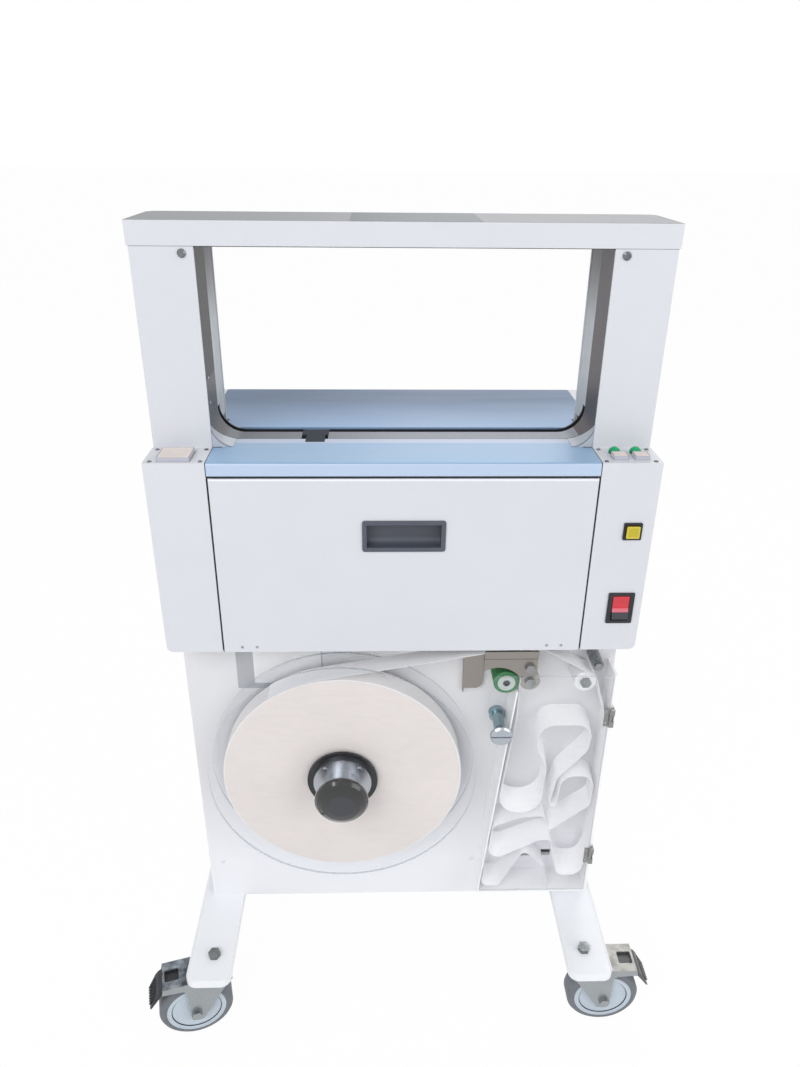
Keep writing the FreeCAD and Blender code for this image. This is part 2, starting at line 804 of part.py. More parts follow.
def build_rollers():
    """The driven feed roller, its pinch roller and the white guide roller."""
    feed_front = -size.feed_front
    width = roller_back - feed_front
    shaft_end = plate_back + 8 - feed_front
    node("feed_roller", turned("feed_roller", [
        (4, 3), (4, 0), (size.feed_hub_radius, 0), (size.feed_hub_radius, 1), (size.feed_radius - 1, 1),
        (size.feed_radius, 2), (size.feed_radius, width), (size.drive_shaft_radius, width),
        (size.drive_shaft_radius, shaft_end), (0, shaft_end), (0, 3),
    ], "y", (size.feed_x, roller_height), feed_front))
    bore = size.roller_pin_radius + size.roller_bore_clearance
    for name, x, radius, front in (("pinch_roller", pinch_x, size.pinch_radius, size.pinch_front),
                                   ("guide_roller", size.guide_x, size.guide_radius, size.guide_front)):
        length = roller_back + front
        node(name, turned(name, [
            (bore, 0), (radius - 0.8, 0), (radius, 0.8), (radius, length - 0.8), (radius - 0.8, length),
            (bore, length),
        ], "y", (x, roller_height), -front))


def build_roller_axles():
    """Fixed pins and posts on the main plate, with their bolt heads."""
    pins = []
    for x, front in ((pinch_x, size.pinch_front), (size.guide_x, size.guide_front)):
        pin = rod("roller_pin", "y", size.roller_pin_radius, (x, roller_height),
                  (-front - size.gap, plate_front))
        head = hexagon("roller_pin_head", "y", 7, (x, roller_height),
                       (-front - size.gap - 4, -front - size.gap))
        pins.append(fuse("roller_axle", pin, head))
    sheet_back = size.bracket_sheet - size.bracket_front
    pins.append(fuse("bracket_post",
                     rod("bracket_post_lower", "y", 5, bracket_bolt, (sheet_back, plate_front)),
                     rod("bracket_stud", "y", 3, bracket_bolt, (-size.bracket_front, sheet_back)),
                     hexagon("bracket_bolt", "y", 6.5, bracket_bolt, (-size.bracket_front - 4.5, -size.bracket_front))))
    upper = (size.bracket_post_x, roller_height + size.bracket_post_rise)
    pins.append(rod("bracket_post_upper", "y", 4.5, upper, (sheet_back, plate_front)))
    pins.append(rod("tape_pin", "y", size.tape_pin_radius, tape_pin, (sheet_back, plate_front)))
    exit_post = (size.guide_x + size.exit_post_offset, roller_height + size.exit_post_rise)
    pins.append(fuse("exit_post",
                     rod("exit_post_body", "y", size.exit_post_radius, exit_post, (-108, plate_front)),
                     hexagon("exit_post_bolt", "y", 5.5, exit_post, (-112, -108))))
    node("roller_axles", group("roller_axles", *pins))


def build_roller_bracket():
    """A joggled sheet in front of the rollers, and the folded sensor tab beside it."""
    front = -size.bracket_front
    back = front + size.bracket_sheet
    step = size.bracket_sheet
    bend = bracket_bend
    sheet_body = padded("bracket_sheet", "x", [
        (front, bracket_bottom), (back, bracket_bottom), (back, bend + 1.2), (front, bend + step + 1.2),
        (front, bracket_top), (front - step, bracket_top), (front - step, bend + step), (front, bend),
    ], (size.bracket_left, size.bracket_right))
    notch = rod("bracket_notch", "y", size.bracket_notch_radius,
                (size.bracket_notch_x, roller_height - size.bracket_notch_drop), (front - 1, back + 1))
    hole = rod("bracket_hole", "y", 3, bracket_bolt, (front - 1, back + 1))
    bracket = cut("bracket_body", sheet_body, notch, hole)
    high = head_bottom - size.sensor_drop
    low = high - size.sensor_length
    tab = block("sensor_face", "y", (size.sensor_left, size.sensor_right), (low, high),
                (plate_front - 6, plate_front - 4.5), 10, (1,))
    flange = box("sensor_flange", (size.sensor_left, size.sensor_left + 1.5), (plate_front - 6, plate_front),
                 (low - 6, high))
    node("roller_bracket", group("roller_bracket", bracket, fuse("sensor_tab", tab, flange)))


# ---------------------------------------------------------------- tape box and door

box_front = -size.door_front + size.door_thickness + size.gap


def build_tape_box():
    """One folded sheet: a slanted left wall, a floor and a right wall, against the main plate."""
    right = size.door_right + 2 + size.box_wall
    wall = size.box_wall
    slant = 2
    profile = [
        (size.box_left_top, box_left_top), (size.box_left_bottom, size.box_floor - wall),
        (right, size.box_floor - wall), (right, door_top), (right - wall, door_top),
        (right - wall, size.box_floor), (size.box_left_bottom + slant + 0.3, size.box_floor),
        (size.box_left_top + slant, box_left_top),
    ]
    node("tape_box", padded("tape_box", "y", profile, (box_front, plate_front)))


hinge_x = size.door_right + 2
hinge_y = -size.door_front - size.door_knuckle_radius


def door_hinge(middle):
    """The fixed and the moving leaf of one door hinge."""
    half = size.door_hinge_length / 2
    third = size.door_hinge_length / 6
    radius = size.door_knuckle_radius
    pin = size.hinge_pin_radius
    low = middle - half
    high = middle + half
    centre = (hinge_x, hinge_y)
    outside = size.door_right + 2 + size.box_wall
    leaf = box("door_leaf", (size.door_right - size.door_leaf_width, hinge_x),
               (-size.door_front - 1.2, -size.door_front), (low, high))
    gaps = [box("leaf_gap", (hinge_x - radius - size.gap, hinge_x + 1), (-size.door_front - 3, 1 - size.door_front),
                limits) for limits in ((low - 1, middle - third), (middle + third, high + 1))]
    knuckle = rod("leaf_knuckle", "z", radius, centre, (middle - third + size.gap, middle + third - size.gap))
    trim = [box("leaf_trim", (hinge_x - radius - size.gap, hinge_x + 1), (-size.door_front - 3, 1 - size.door_front),
                limits) for limits in ((low - 1, middle - third + size.gap), (middle + third - size.gap, high + 1))]
    bore = rod("leaf_bore", "z", pin + size.run_clearance, centre, (low - 1, high + 1))
    moving = cut("door_leaf_moving", fuse("door_leaf_body", cut("door_leaf_sheet", leaf, *gaps, *trim), knuckle), bore)
    plate = box("fixed_leaf", (outside, outside + 1.2), (-size.door_front - radius, 18 - size.door_front), (low, high))
    fixed = [plate, rod("fixed_pin", "z", pin, centre, (low, high))]
    for limits in ((low, middle - third), (middle + third, high)):
        fixed.append(rod("fixed_knuckle", "z", radius, centre, limits))
        fixed.append(box("fixed_bridge", (hinge_x, outside + 1.2),
                         (-size.door_front - 2 * radius, -size.door_front - radius), limits))
    return fuse("door_hinge_fixed", *fixed), moving


def build_door():
    """The clear door, its hinges, its post and its captive screw."""
    back = -size.door_front + size.door_thickness
    sheet_body = padded("door_sheet", "y", [
        (size.door_left, size.door_bottom), (size.door_right, size.door_bottom),
        (size.door_right, door_top), (size.door_left + size.door_corner, door_top),
        (size.door_left, door_top - size.door_corner),
    ], (-size.door_front, back))
    latch = (size.latch_x, size.latch_height)
    hole = rod("door_hole", "y", size.latch_shank_radius + 0.1, latch, (-size.door_front - 1, back + 1))
    node("box_door", cut("box_door", sheet_body, hole))
    pairs = [door_hinge(height) for height in (size.door_hinge_lower, size.door_hinge_upper)]
    node("door_hinges", group("door_hinges", *[pair[0] for pair in pairs]))
    node("door_leaves", group("door_leaves", *[pair[1] for pair in pairs]))

    post_front = back + size.gap
    post_length = plate_front - post_front
    post_bore = size.latch_tip_radius + size.latch_tip_clearance
    node("door_post", turned("door_post", [
        (post_bore, 0), (size.latch_post_radius, 0), (size.latch_post_radius, post_length - 8),
        (size.latch_post_radius + 3, post_length - 8), (size.latch_post_radius + 3, post_length),
        (post_bore, post_length),
    ], "y", latch, post_front))
    head_back = size.latch_head - size.gap
    shank_end = size.latch_head + size.door_thickness
    tip_end = shank_end + size.gap + size.latch_entry
    head = turned("screw_body", [
        (0, 0), (size.latch_head_radius - 2, 0), (size.latch_head_radius, 2), (size.latch_head_radius, 5),
        (size.latch_head_radius - 4, 8), (size.latch_head_radius - 5, head_back), (size.latch_shank_radius, head_back),
        (size.latch_shank_radius, shank_end - 1), (size.latch_tip_radius, shank_end),
        (size.latch_tip_radius, tip_end - 1), (size.latch_tip_radius - 1, tip_end), (0, tip_end),
    ], "y", latch, -size.door_front - size.latch_head)
    slot = box("screw_slot", (size.latch_x - 15, size.latch_x + 15),
               (-size.door_front - size.latch_head - 1, -size.door_front - size.latch_head + 2),
               (size.latch_height - 1, size.latch_height + 1))
    node("thumb_screw", cut("thumb_screw", head, slot))


def ribbon(corners, thickness):
    """The edge-on outline of a strip that runs straight between rounded corners.

    corners holds (x, z, radius); the first and the last are the strip's two ends.
    """
    half = thickness / 2
    points = [Vector(x, 0, z) for x, z, _ in corners]
    sides = {1: [], -1: []}
    ways = [(after - before).normalize() for before, after in zip(points, points[1:])]
    bends = [(points[0], points[0], 0, 0, None)]
    for index in range(1, len(points) - 1):
        way, onward = ways[index - 1], ways[index]
        cross = way.x * onward.z - way.z * onward.x
        angle = math.atan2(cross, way.dot(onward))
        radius = corners[index][2]
        reach = radius * math.tan(abs(angle) / 2)
        hand = 1 if angle > 0 else -1
        centre = points[index] - way * reach + Vector(-way.z, 0, way.x) * radius * hand
        bends.append((points[index] - way * reach, points[index] + onward * reach, hand, radius, centre))
    bends.append((points[-1], points[-1], 0, 0, None))
    for number, way in enumerate(ways):
        start, end = bends[number][1], bends[number + 1][0]
        _, leave, hand, radius, centre = bends[number + 1]
        for side, edges in sides.items():
            shift = Vector(-way.z, 0, way.x) * half * side
            if start.distanceToPoint(end) > 0.001:
                edges.append(Part.LineSegment(start + shift, end + shift))
            if centre is not None:
                share = (radius - half * side * hand) / radius
                first, last = centre + (end - centre) * share, centre + (leave - centre) * share
                middle = centre + (points[number + 1] - centre).normalize() * radius * share
                edges.append(Part.Arc(first, middle, last))
    caps = []
    for point, way in ((points[0], ways[0]), (points[-1], ways[-1])):
        shift = Vector(-way.z, 0, way.x) * half
        caps.append(Part.LineSegment(point + shift, point - shift))
    edges = [edge.toShape() for edge in sides[1] + sides[-1] + caps]
    return Part.Wire(Part.__sortEdges__(edges))


def limp_strip(corners, thickness, depth):
    """A strip whose bends sag towards its front edge.

    corners holds (x, z, radius, rise); rise is how much higher the bend is at the strip's back edge.
    """
    near = ribbon([(x, z, radius) for x, z, radius, _ in corners], thickness)
    far = ribbon([(x, z + rise, radius) for x, z, radius, rise in corners], thickness)
    return Part.makeLoft([near, far.translated(Vector(0, depth, 0))], True, True)


def wrap(centre, reach, first, last):
    """The corner that leads a strip round a circle between two normals, in degrees."""
    middle = math.radians((first + last) / 2)
    far = reach / math.cos(math.radians((last - first) / 2))
    return (centre[0] + far * math.cos(middle), centre[1] + far * math.sin(middle), reach)


def build_tape():
    """The paper tape: from the roll to the nip, laid in loops in the box, and over the guide roller."""
    thickness = size.tape_thickness.value
    clear = size.gap.value + thickness / 2
    front = size.bracket_sheet.value - size.bracket_front.value + size.gap.value
    back = size.disc_thickness.value + size.tape_width.value - size.reel_front.value - size.gap.value
    reel = (size.reel_x.value, size.reel_height.value)
    pin = tuple(length.value for length in tape_pin)
    roll_reach = size.roll_radius.value + clear
    pin_reach = size.tape_pin_radius.value + clear
    across, up = pin[0] - reel[0], pin[1] - reel[1]
    slope = math.degrees(math.atan2(up, across) - math.asin((roll_reach - pin_reach) / math.hypot(across, up)))
    start = math.radians(slope + 115)
    floor = size.box_floor.value + clear
    right = size.door_right.value + 2 - clear
    left = size.box_left_bottom.value + 2.3 + clear
    lean = (size.box_left_top.value - size.box_left_bottom.value) / (box_left_top.value - floor)
    depth = back - front

    def beside(height, radius, rise, away):
        """A bend against the slanted wall, height above the floor."""
        return (left + lean * (height + rise) + away, floor + height, radius, rise)

    incoming = limp_strip([
        (reel[0] + roll_reach * math.cos(start), reel[1] + roll_reach * math.sin(start), 0, 0),
        (*wrap(reel, roll_reach, slope + 115, slope + 90), 0), (*wrap(pin, pin_reach, slope + 90, 0), 0),
        (nip_x.value, floor + 304.5, 60, 0), beside(147, 27, 18, 1.3), (left + 75.2, floor + 147, 27, 18),
        (left + 78.2, floor + 226.5, 18, 16), (left + 63.2, floor + 256.5, 22, 14),
        (left + 65.7, floor + 294.5, 20, 12), (right - 16.5, floor + 294.5, 20, 12),
        (right - 20.5, floor + 252.5, 24, 8), (right - 56.5, floor + 206.5, 20, 8),
        (right - 63.5, floor + 157.5, 4.6, 8), (right - 53.5, floor + 157.5, 4.6, 8),
        (right - 49.5, floor + 209.5, 18, 6), (right - 6.5, floor + 209.5, 18, 6),
        (right - 7.5, floor + 158.5, 14, 8), (right - 60.5, floor + 111.5, 0, 12),
    ], thickness, depth)
    roller = (size.guide_x.value, roller_height.value)
    roller_reach = size.guide_radius.value + clear
    low = (right, roller[1] - 65)
    aside, above = roller[0] - low[0], roller[1] - low[1]
    heading = math.degrees(math.atan2(above, aside) - math.asin(roller_reach / math.hypot(aside, above)))
    leaving = math.radians(149)
    tail = size.tape_exit_length.value
    exit_x = roller[0] + roller_reach * math.sin(leaving) + tail * math.cos(leaving)
    exit_z = roller[1] - roller_reach * math.cos(leaving) + tail * math.sin(leaving)
    outgoing = limp_strip([
        (left + 86.2, floor + 115.5, 0, 6), (left + 84.2, floor + 140, 10, 4), (left + 50.7, floor + 138, 30, 6),
        beside(121.5, 12, 10, 0.9), beside(53.5, 14, 20, 1.3), (left + 78.7, floor + 95.5, 20, 12),
        (left + 94.7, floor + 96, 8, 10), (right - 41.5, floor + 28, 14, 22), (right - 9.5, floor + 28, 16, 20),
        (right, floor + 74.5, 30, 12), (*low, 40, 0), (*wrap(roller, roller_reach, heading - 90, 59), 0),
        (exit_x, exit_z, 0, 0),
    ], thickness, depth)
    fallen = limp_strip([
        beside(40.5, 0, 16, 0.8), beside(8.5, 10, 12, 0.5), (left + 27.7, floor + 8.5, 8, 12),
        (left + 59, floor + 76.5, 7, 8), (left + 89.7, floor + 45, 12, 4), (left + 97.7, floor + 0.2, 8, 0),
        (right - 13.5, floor + 0.2, 0, 0),
    ], thickness, depth)
    feature = doc.addObject("Part::Feature", "tape_loops")
    feature.Shape = Part.Compound([incoming, outgoing, fallen])
    feature.Placement = Placement(Vector(0, front, 0), Rotation())
    node("tape_loops", feature)


# ---------------------------------------------------------------- head

def build_covers():
    """The white sheet covers: two pods, two columns, the beam and the rear housing."""
    inner = half_arch
    wall = size.sheet
    blank = block("pod_blank", "y", (inner, half_head), (head_bottom, size.table_height), (front_y, plate_back),
                  8, (1,))
    hollow = box("pod_hollow", (inner + wall, half_head - wall), (front_y + wall, plate_back + 1),
                 (head_bottom + wall, size.table_height - wall))
    notch = box("pod_notch", (inner - 1, half_plate + size.gap), (plate_front - size.gap, plate_back + 1),
                (head_bottom - 1, plate_top + size.gap))
    plain = cut("pod_plain", blank, hollow, notch)
    start = key_hole("start_hole", start_x, front_y + size.start_setback, size.start_width, size.start_length)
    node("pod_left", cut("pod_left", mirrored("pod_twin", plain), mirrored("start_hole_twin", start)))
    holes = [key_hole("key_hole", x, front_y + size.key_setback, size.key_width, size.key_width)
             for x in key_places]
    holes += [rod("lamp_hole", "z", size.lamp_radius - 1.5, (x, front_y + size.lamp_setback),
                  (size.table_height - 3, size.table_height + 1)) for x in lamp_places]
    for centre, width, height in (((button_x, size.button_height), size.button_bezel, size.button_bezel),
                                  ((rocker_x, size.rocker_height), size.rocker_bezel_width,
                                   size.rocker_bezel_height)):
        holes.append(box("switch_hole", (centre[0] - width / 2 + 1.5, centre[0] + width / 2 - 1.5),
                         (front_y - 1, front_y + wall + 1),
                         (centre[1] - height / 2 + 1.5, centre[1] + height / 2 - 1.5)))
    node("pod_right", cut("pod_right", plain, *holes))

    wall = size.column_sheet
    outside = half_head - size.column_inset
    tube = cut("column_tube",
               box("column_blank", (inner, outside), (plate_back, column_back), (head_bottom, beam_bottom)),
               box("column_hollow", (inner + wall, outside - wall), (plate_back + wall, column_back - wall),
                   (head_bottom - 1, beam_bottom + 1)))
    mouth = box("column_mouth", (inner - 1, inner + wall + 1),
                (plate_back + wall + size.gap, column_back - wall - size.gap),
                (size.table_height - 40, beam_bottom + 1))
    right = cut("column_right", tube, mouth)
    node("column_left", mirrored("column_left", right))
    node("column_right", right)

    reach = half_head + size.beam_overhang
    beam = block("beam_blank", "z", (-reach, reach), (plate_back, column_back), (beam_bottom, beam_top),
                 size.beam_corner, (2, 3))
    beam_hollow = box("beam_hollow", (wall - reach, reach - wall), (plate_back + wall, column_back - wall),
                      (beam_bottom - 1, beam_top - wall))
    node("beam_cover", cut("beam_cover", beam, beam_hollow))
    build_rear_housing()


def key_hole(name, x, y, width, length):
    """The square hole in a pod's top for a key."""
    slack = size.gap + 0.2
    return box(name, (x - width / 2 - slack, x + width / 2 + slack),
               (y - length / 2 - slack, y + length / 2 + slack), (size.table_height - 5, size.table_height + 1))


def build_rear_housing():
    """The rear of the head, with two rows of vents and the mains inlet."""
    wall = size.sheet
    outer = block("rear_outer", "z", (-half_head, half_head), (column_back, rear_y), (head_bottom, table_under),
                  size.rear_corner, (2, 3))
    inner = box("rear_inner", (wall - half_head, half_head - wall), (column_back - 1, rear_y - wall),
                (head_bottom + wall, table_under - wall))
    vents = []
    for row in (0, 1):
        for number in range(8):
            x = -220 + number * size.vent_pitch
            z = 650 + row * (size.vent_length + 20)
            vents.append(box("vent", (x, x + size.vent_width), (rear_y - wall - 1, rear_y + 1),
                             (z, z + size.vent_length)))
    hole = box("inlet_hole", (size.inlet_x - 14.5, size.inlet_x + 14.5), (rear_y - wall - 1, rear_y + 1),
               (size.inlet_height - 11, size.inlet_height + 11))
    node("rear_housing", cut("rear_housing", outer, inner, hole, *vents))

    flange = block("inlet_flange", "y", (size.inlet_x - 25, size.inlet_x + 25),
                   (size.inlet_height - 14, size.inlet_height + 14), (rear_y, rear_y + 2.5), 4)
    body = box("inlet_body", (size.inlet_x - 14.3, size.inlet_x + 14.3), (rear_y - 20, rear_y + 1),
               (size.inlet_height - 10.8, size.inlet_height + 10.8))
    recess = padded("inlet_recess", "y", [
        (size.inlet_x - 12, size.inlet_height - 8), (size.inlet_x + 12, size.inlet_height - 8),
        (size.inlet_x + 12, size.inlet_height + 3), (size.inlet_x + 7, size.inlet_height + 8),
        (size.inlet_x - 7, size.inlet_height + 8), (size.inlet_x - 12, size.inlet_height + 3),
    ], (rear_y - 15, rear_y + 4))
    shell = cut("inlet_shell", fuse("inlet_solid", flange, body), recess)
    blades = [box("inlet_blade", (size.inlet_x + dx - 1, size.inlet_x + dx + 1), (rear_y - 15.5, rear_y - 2),
                  (size.inlet_height + dz - 2, size.inlet_height + dz + 2))
              for dx, dz in ((-7, -2.5), (7, -2.5), (0, 3))]
    node("mains_inlet", fuse("mains_inlet", shell, *blades))


def build_tables():
    """The bright front table with its rolled hem, and the rear table."""
    half = half_arch - size.table_side_gap
    back = front_y + size.table_depth
    sheet_size = size.sheet
    lip = size.table_height - size.table_lip
    table = padded("table_sheet", "x", [
        (back, size.table_height), (front_y, size.table_height), (front_y, lip),
        (front_y + 8, lip), (front_y + 8, lip + sheet_size), (front_y + sheet_size, lip + sheet_size),
        (front_y + sheet_size, table_under), (back, table_under),
    ], (-half, half), [(size.table_hem, (1,)), (sheet_size, (2,))])
    notches = []
    for limits in ((-half - 1, size.table_notch_width - half), (half - size.table_notch_width, half + 1)):
        notches.append(box("table_corner", limits, (back - size.table_notch_depth, back + 1),
                           (table_under - 1, size.table_height + 1)))
    notches.append(box("die_notch", (size.head_die_left - size.gap, size.head_die_right + size.gap),
                       (front_y + size.head_die_front - size.gap, back + 1),
                       (table_under - 1, size.table_height + 1)))
    node("front_table", cut("front_table", table, *notches))

    wide = size.rear_table_width / 2
    neck = size.rear_table_neck / 2
    margin = size.rear_table_margin
    shoulder = column_back + 1
    rear = padded("rear_sheet", "z", [
        (-neck, slot_back), (neck, slot_back), (neck, shoulder), (wide, shoulder), (wide, rear_y - margin),
        (-wide, rear_y - margin), (-wide, shoulder), (-neck, shoulder),
    ], (table_under, size.table_height), [(3, (4, 5))])
    lip_reach = half_arch - size.gap
    front_lip = box("rear_table_lip", (-lip_reach, lip_reach), (slot_back, slot_back + size.sheet),
                    (size.table_height - size.rear_table_lip, size.table_height))
    node("rear_table", fuse("rear_table", rear, front_lip))


def arch_ring(name, inset, limits, thickness):
    """A ring round the arch, wide curves below and tight ones above; inset moves its inner face outward."""
    half = half_arch + inset
    low = size.table_height - inset
    high = beam_bottom - size.band_sheet + inset
    rings = []
    for grown, ends in ((thickness, limits), (0, (limits[0] - 1, limits[1] + 1))):
        reach = half + grown
        rounds = [(size.arch_corner + inset + grown, (0, 1)), (size.arch_top_corner + inset + grown, (2, 3))]
        rings.append(padded(f"{name}_outline", "y", rectangle((-reach, reach), (low - grown, high + grown)),
                            ends, rounds))
    return cut(name, *rings)


def build_arch_lining():
    """The guide band, the black track behind it, and the flaps that close the track."""
    band_front = plate_back + size.column_sheet + 2 * size.gap
    ring = arch_ring("band_ring", 0.5, (band_front, slot_front), size.band_sheet)
    table_back = front_y + size.table_depth
    under_table = box("under_table", (-half_head, half_head), (band_front - 1, table_back + size.gap),
                      (size.table_height - 10, size.table_height + size.gap))
    gate = box("band_gate", (size.head_block_left - size.gap, size.head_block_right + size.gap),
               (track_front - 1, slot_front + 1), (size.table_height - 6, size.table_height + 6))
    node("guide_band", cut("guide_band", ring, gate, under_table))

    inset = 0.5 + size.band_sheet
    wall = size.track_wall
    ring_back = slot_back - size.gap
    shell = arch_ring("track_shell", inset, (track_front, ring_back), size.track_depth)
    groove = arch_ring("track_groove", inset - 1, (track_front + wall, ring_back - wall), size.track_depth - wall + 1)
    floor = size.table_height - size.head_block_depth
    roof = beam_bottom + 0.5
    outside = half_arch + inset + size.track_depth
    legs = []
    hollows = []
    for side in (-1, 1):
        ends = sorted((side * (half_arch + inset), side * outside), key=lambda length: length.value)
        inner = sorted((side * half_arch, side * (outside - wall)), key=lambda length: length.value)
        legs.append(box("track_leg", ends, (ring_back, track_back), (floor, roof)))
        hollows.append(box("track_leg_groove", inner, (ring_back + wall, track_back - wall), (floor - 1, roof + 1)))
    gate = box("track_gate", (size.head_block_left - size.gap, size.head_block_right + size.gap),
               (track_front - 1, ring_back + 1), (size.table_height - 40, size.table_height + 6))
    node("tape_track", cut("tape_track", fuse("track_body", shell, *legs), groove, gate, *hollows))

    flap_front = slot_front + size.gap
    flap_back = flap_front + size.flap_width - 2 * size.gap
    face = half_arch + 0.5 + size.band_sheet
    flaps = []
    low = size.table_height + size.flap_end
    high = beam_bottom - 2 * size.arch_top_corner
    bend = size.arch_corner + size.gap
    for side in (-1, 1):
        limits = sorted((side * face, side * (face - size.flap_sheet)), key=lambda length: length.value)
        sheet_body = box("flap_sheet", limits, (flap_front, flap_back), (low, high))
        corner = box("flap_corner", (limits[0] - 1, limits[1] + 1), (flap_front - 1, ring_back + size.gap),
                     (low - 1, size.table_height + bend))
        flaps.append(cut("flap", sheet_body, corner))
    flaps.append(box("beam_flap", (6 - half_arch, half_arch - 6), (flap_front, flap_back),
                     (beam_bottom + 0.5 - size.flap_sheet, beam_bottom + 0.5)))
    node("track_flaps", group("track_flaps", *flaps))


def build_sealing_head():
    """The sealing block under the table plane, with its narrow die in front."""
    top = size.table_height + 0.5
    low = top - size.head_block_depth
    wide = box("head_block", (size.head_block_left, size.head_block_right),
               (front_y + size.head_die_back, front_y + size.head_block_back), (low, top))
    die = box("head_die", (size.head_die_left, size.head_die_right),
              (front_y + size.head_die_front, front_y + size.head_die_back), (low, top))
    stem = box("head_stem", (size.head_die_left, size.head_die_right), (plate_back, front_y + size.head_die_front + 6),
               (low - 30, low + 6))
    node("sealing_head", fuse("sealing_head", wide, die, stem))


def screw(axis, centre, face, radius=size.screw_radius, rise=size.screw_head):
    """A domed screw head whose back lies on a face and whose crown points to the front or up."""
    if axis == "y":
        outline = [(0, 0), (radius * 0.6, 0), (radius, rise * 0.6), (radius, rise), (0, rise)]
        return turned("screw", outline, "y", centre, face - rise)
    outline = [(0, 0), (radius, 0), (radius, rise * 0.4), (radius * 0.6, rise), (0, rise)]
    return turned("screw", outline, "z", centre, face)


def build_screws():
    """The visible cover screws."""
    screws = [screw("y", (side * (half_arch + 12), beam_bottom - 7), plate_back) for side in (-1, 1)]
    for side in (-1, 1):
        for x in (half_arch + 5, half_head - 7):
            for y in (front_y + 5, plate_front - 1):
                screws.append(screw("z", (side * x, y), size.table_height, 2.5, 1.2))
    screws += [screw("y", (x, size.foot_top + 68), plate_front, 3, 1.8)
               for x in (18.5 - half_plate, size.box_left_bottom - 5.5)]
    node("cover_screws", group("cover_screws", *screws))


# ---------------------------------------------------------------- drop panel

panel_axis = (front_y + size.panel_hinge_inset, size.panel_bottom + size.panel_hinge_rise)


def build_panel():
    """The drop panel, its handle tray and its hinges."""
    half = half_arch - size.panel_gap
    wall = size.sheet
    inner_back = front_y + size.panel_flange
    shell = cut("panel_shell",
                box("panel_blank", (-half, half), (front_y, inner_back), (size.panel_bottom, size.panel_top)),
                box("panel_hollow", (wall - half, half - wall), (front_y + wall, inner_back + 1),
                    (size.panel_bottom + wall, size.panel_top - wall)))
    tools = []
    for side in (-1, 1):
        middle = side * (half_arch - size.panel_hinge_margin)
        tools.append(box("hinge_gap", (middle - size.panel_hinge_length / 2 - 2, middle + size.panel_hinge_length / 2 + 2),
                         (front_y + wall, inner_back + 1), (size.panel_bottom - 1, size.panel_bottom + wall + 1)))
    rim = size.handle_rim
    half_handle = size.handle_width / 2
    low = size.handle_middle - size.handle_height / 2
    high = low + size.handle_height
    tools.append(box("handle_hole", (rim - half_handle, half_handle - rim), (front_y - 1, front_y + wall + 1),
                     (low + rim, high - rim)))
    node("drop_panel", cut("drop_panel", shell, *tools))

    frame = block("handle_frame", "y", (-half_handle, half_handle), (low, high), (front_y - 1.5, front_y), 3)
    tray = box("handle_tray", (rim - half_handle, half_handle - rim), (front_y - 1, front_y + size.handle_depth),
               (low + rim, high - rim))
    cavity = block("handle_cavity", "x", (front_y - 3, front_y + size.handle_depth - 2),
                   (low + rim + 2, high - rim - 2), (rim + 2 - half_handle, half_handle - rim - 2), 8, (1,))
    node("panel_handle", cut("panel_handle", fuse("handle_solid", frame, tray), cavity))

    fixed, moving = [], []
    for side in (-1, 1):
        pair = panel_hinge(side)
        fixed.append(pair[0])
        moving.append(pair[1])
    node("hinge_brackets", group("hinge_brackets", *fixed))
    node("panel_leaves", group("panel_leaves", *moving))


def panel_hinge(side):
    """A hinge behind the panel's bottom edge: its bracket runs to the pod's inner wall."""
    middle = side * (half_arch - size.panel_hinge_margin)
    half = size.panel_hinge_length / 2
    third = size.panel_hinge_length / 6
    radius = size.panel_knuckle_radius
    pin = size.hinge_pin_radius
    low, high = middle - half, middle + half
    inside = front_y + size.sheet
    axis_y, axis_z = panel_axis
    leaf = box("panel_leaf", (low, high), (inside, inside + 1.2), (axis_z + radius + size.gap, axis_z + 26))
    tab = box("panel_leaf_tab", (middle - third + size.gap, middle + third - size.gap), (inside, inside + 1.2),
              (axis_z, axis_z + radius + 1))
    knuckle = rod("panel_knuckle", "x", radius, panel_axis, (middle - third + size.gap, middle + third - size.gap))
    bore = rod("panel_bore", "x", pin + size.run_clearance, panel_axis, (low - 1, high + 1))
    moving = cut("panel_leaf_moving", fuse("panel_leaf_body", leaf, tab, knuckle), bore)
    rail_front = front_y + size.panel_flange + 2
    ends = (middle - half, half_arch) if side > 0 else (-half_arch, middle + half)
    rail = box("bracket_rail", ends, (rail_front, rail_front + 1.5), (size.panel_bottom + 1, size.panel_bottom + 24))
    fixed = [rail, rod("panel_pin", "x", pin, panel_axis, (low, high))]
    for limits in ((low, middle - third), (middle + third, high)):
        fixed.append(rod("bracket_knuckle", "x", radius, panel_axis, limits))
        fixed.append(box("bracket_arm", limits, (axis_y, rail_front + 1.5), (axis_z - radius + 0.5, axis_z)))
    return fuse("hinge_bracket", *fixed), moving


# ---------------------------------------------------------------- switches and lamps

def key_parts(name, x, y, width, length):
    """A square key and the open-topped case that it slides in."""
    slack = size.gap + 0.2
    wall = size.switch_wall
    top = size.table_height - size.sheet
    floor = top - size.switch_depth
    case = cut(f"{name}_case",
               box(f"{name}_case_blank", (x - width / 2 - slack - wall, x + width / 2 + slack + wall),
                   (y - length / 2 - slack - wall, y + length / 2 + slack + wall), (floor, top)),
               box(f"{name}_case_hollow", (x - width / 2 - slack, x + width / 2 + slack),
                   (y - length / 2 - slack, y + length / 2 + slack), (floor + wall, top + 1)))
    cap = block(f"{name}_cap", "z", (x - width / 2, x + width / 2), (y - length / 2, y + length / 2),
                (floor + wall + size.key_travel + size.gap, size.table_height + size.key_rise), 1.5)
    return case, cap


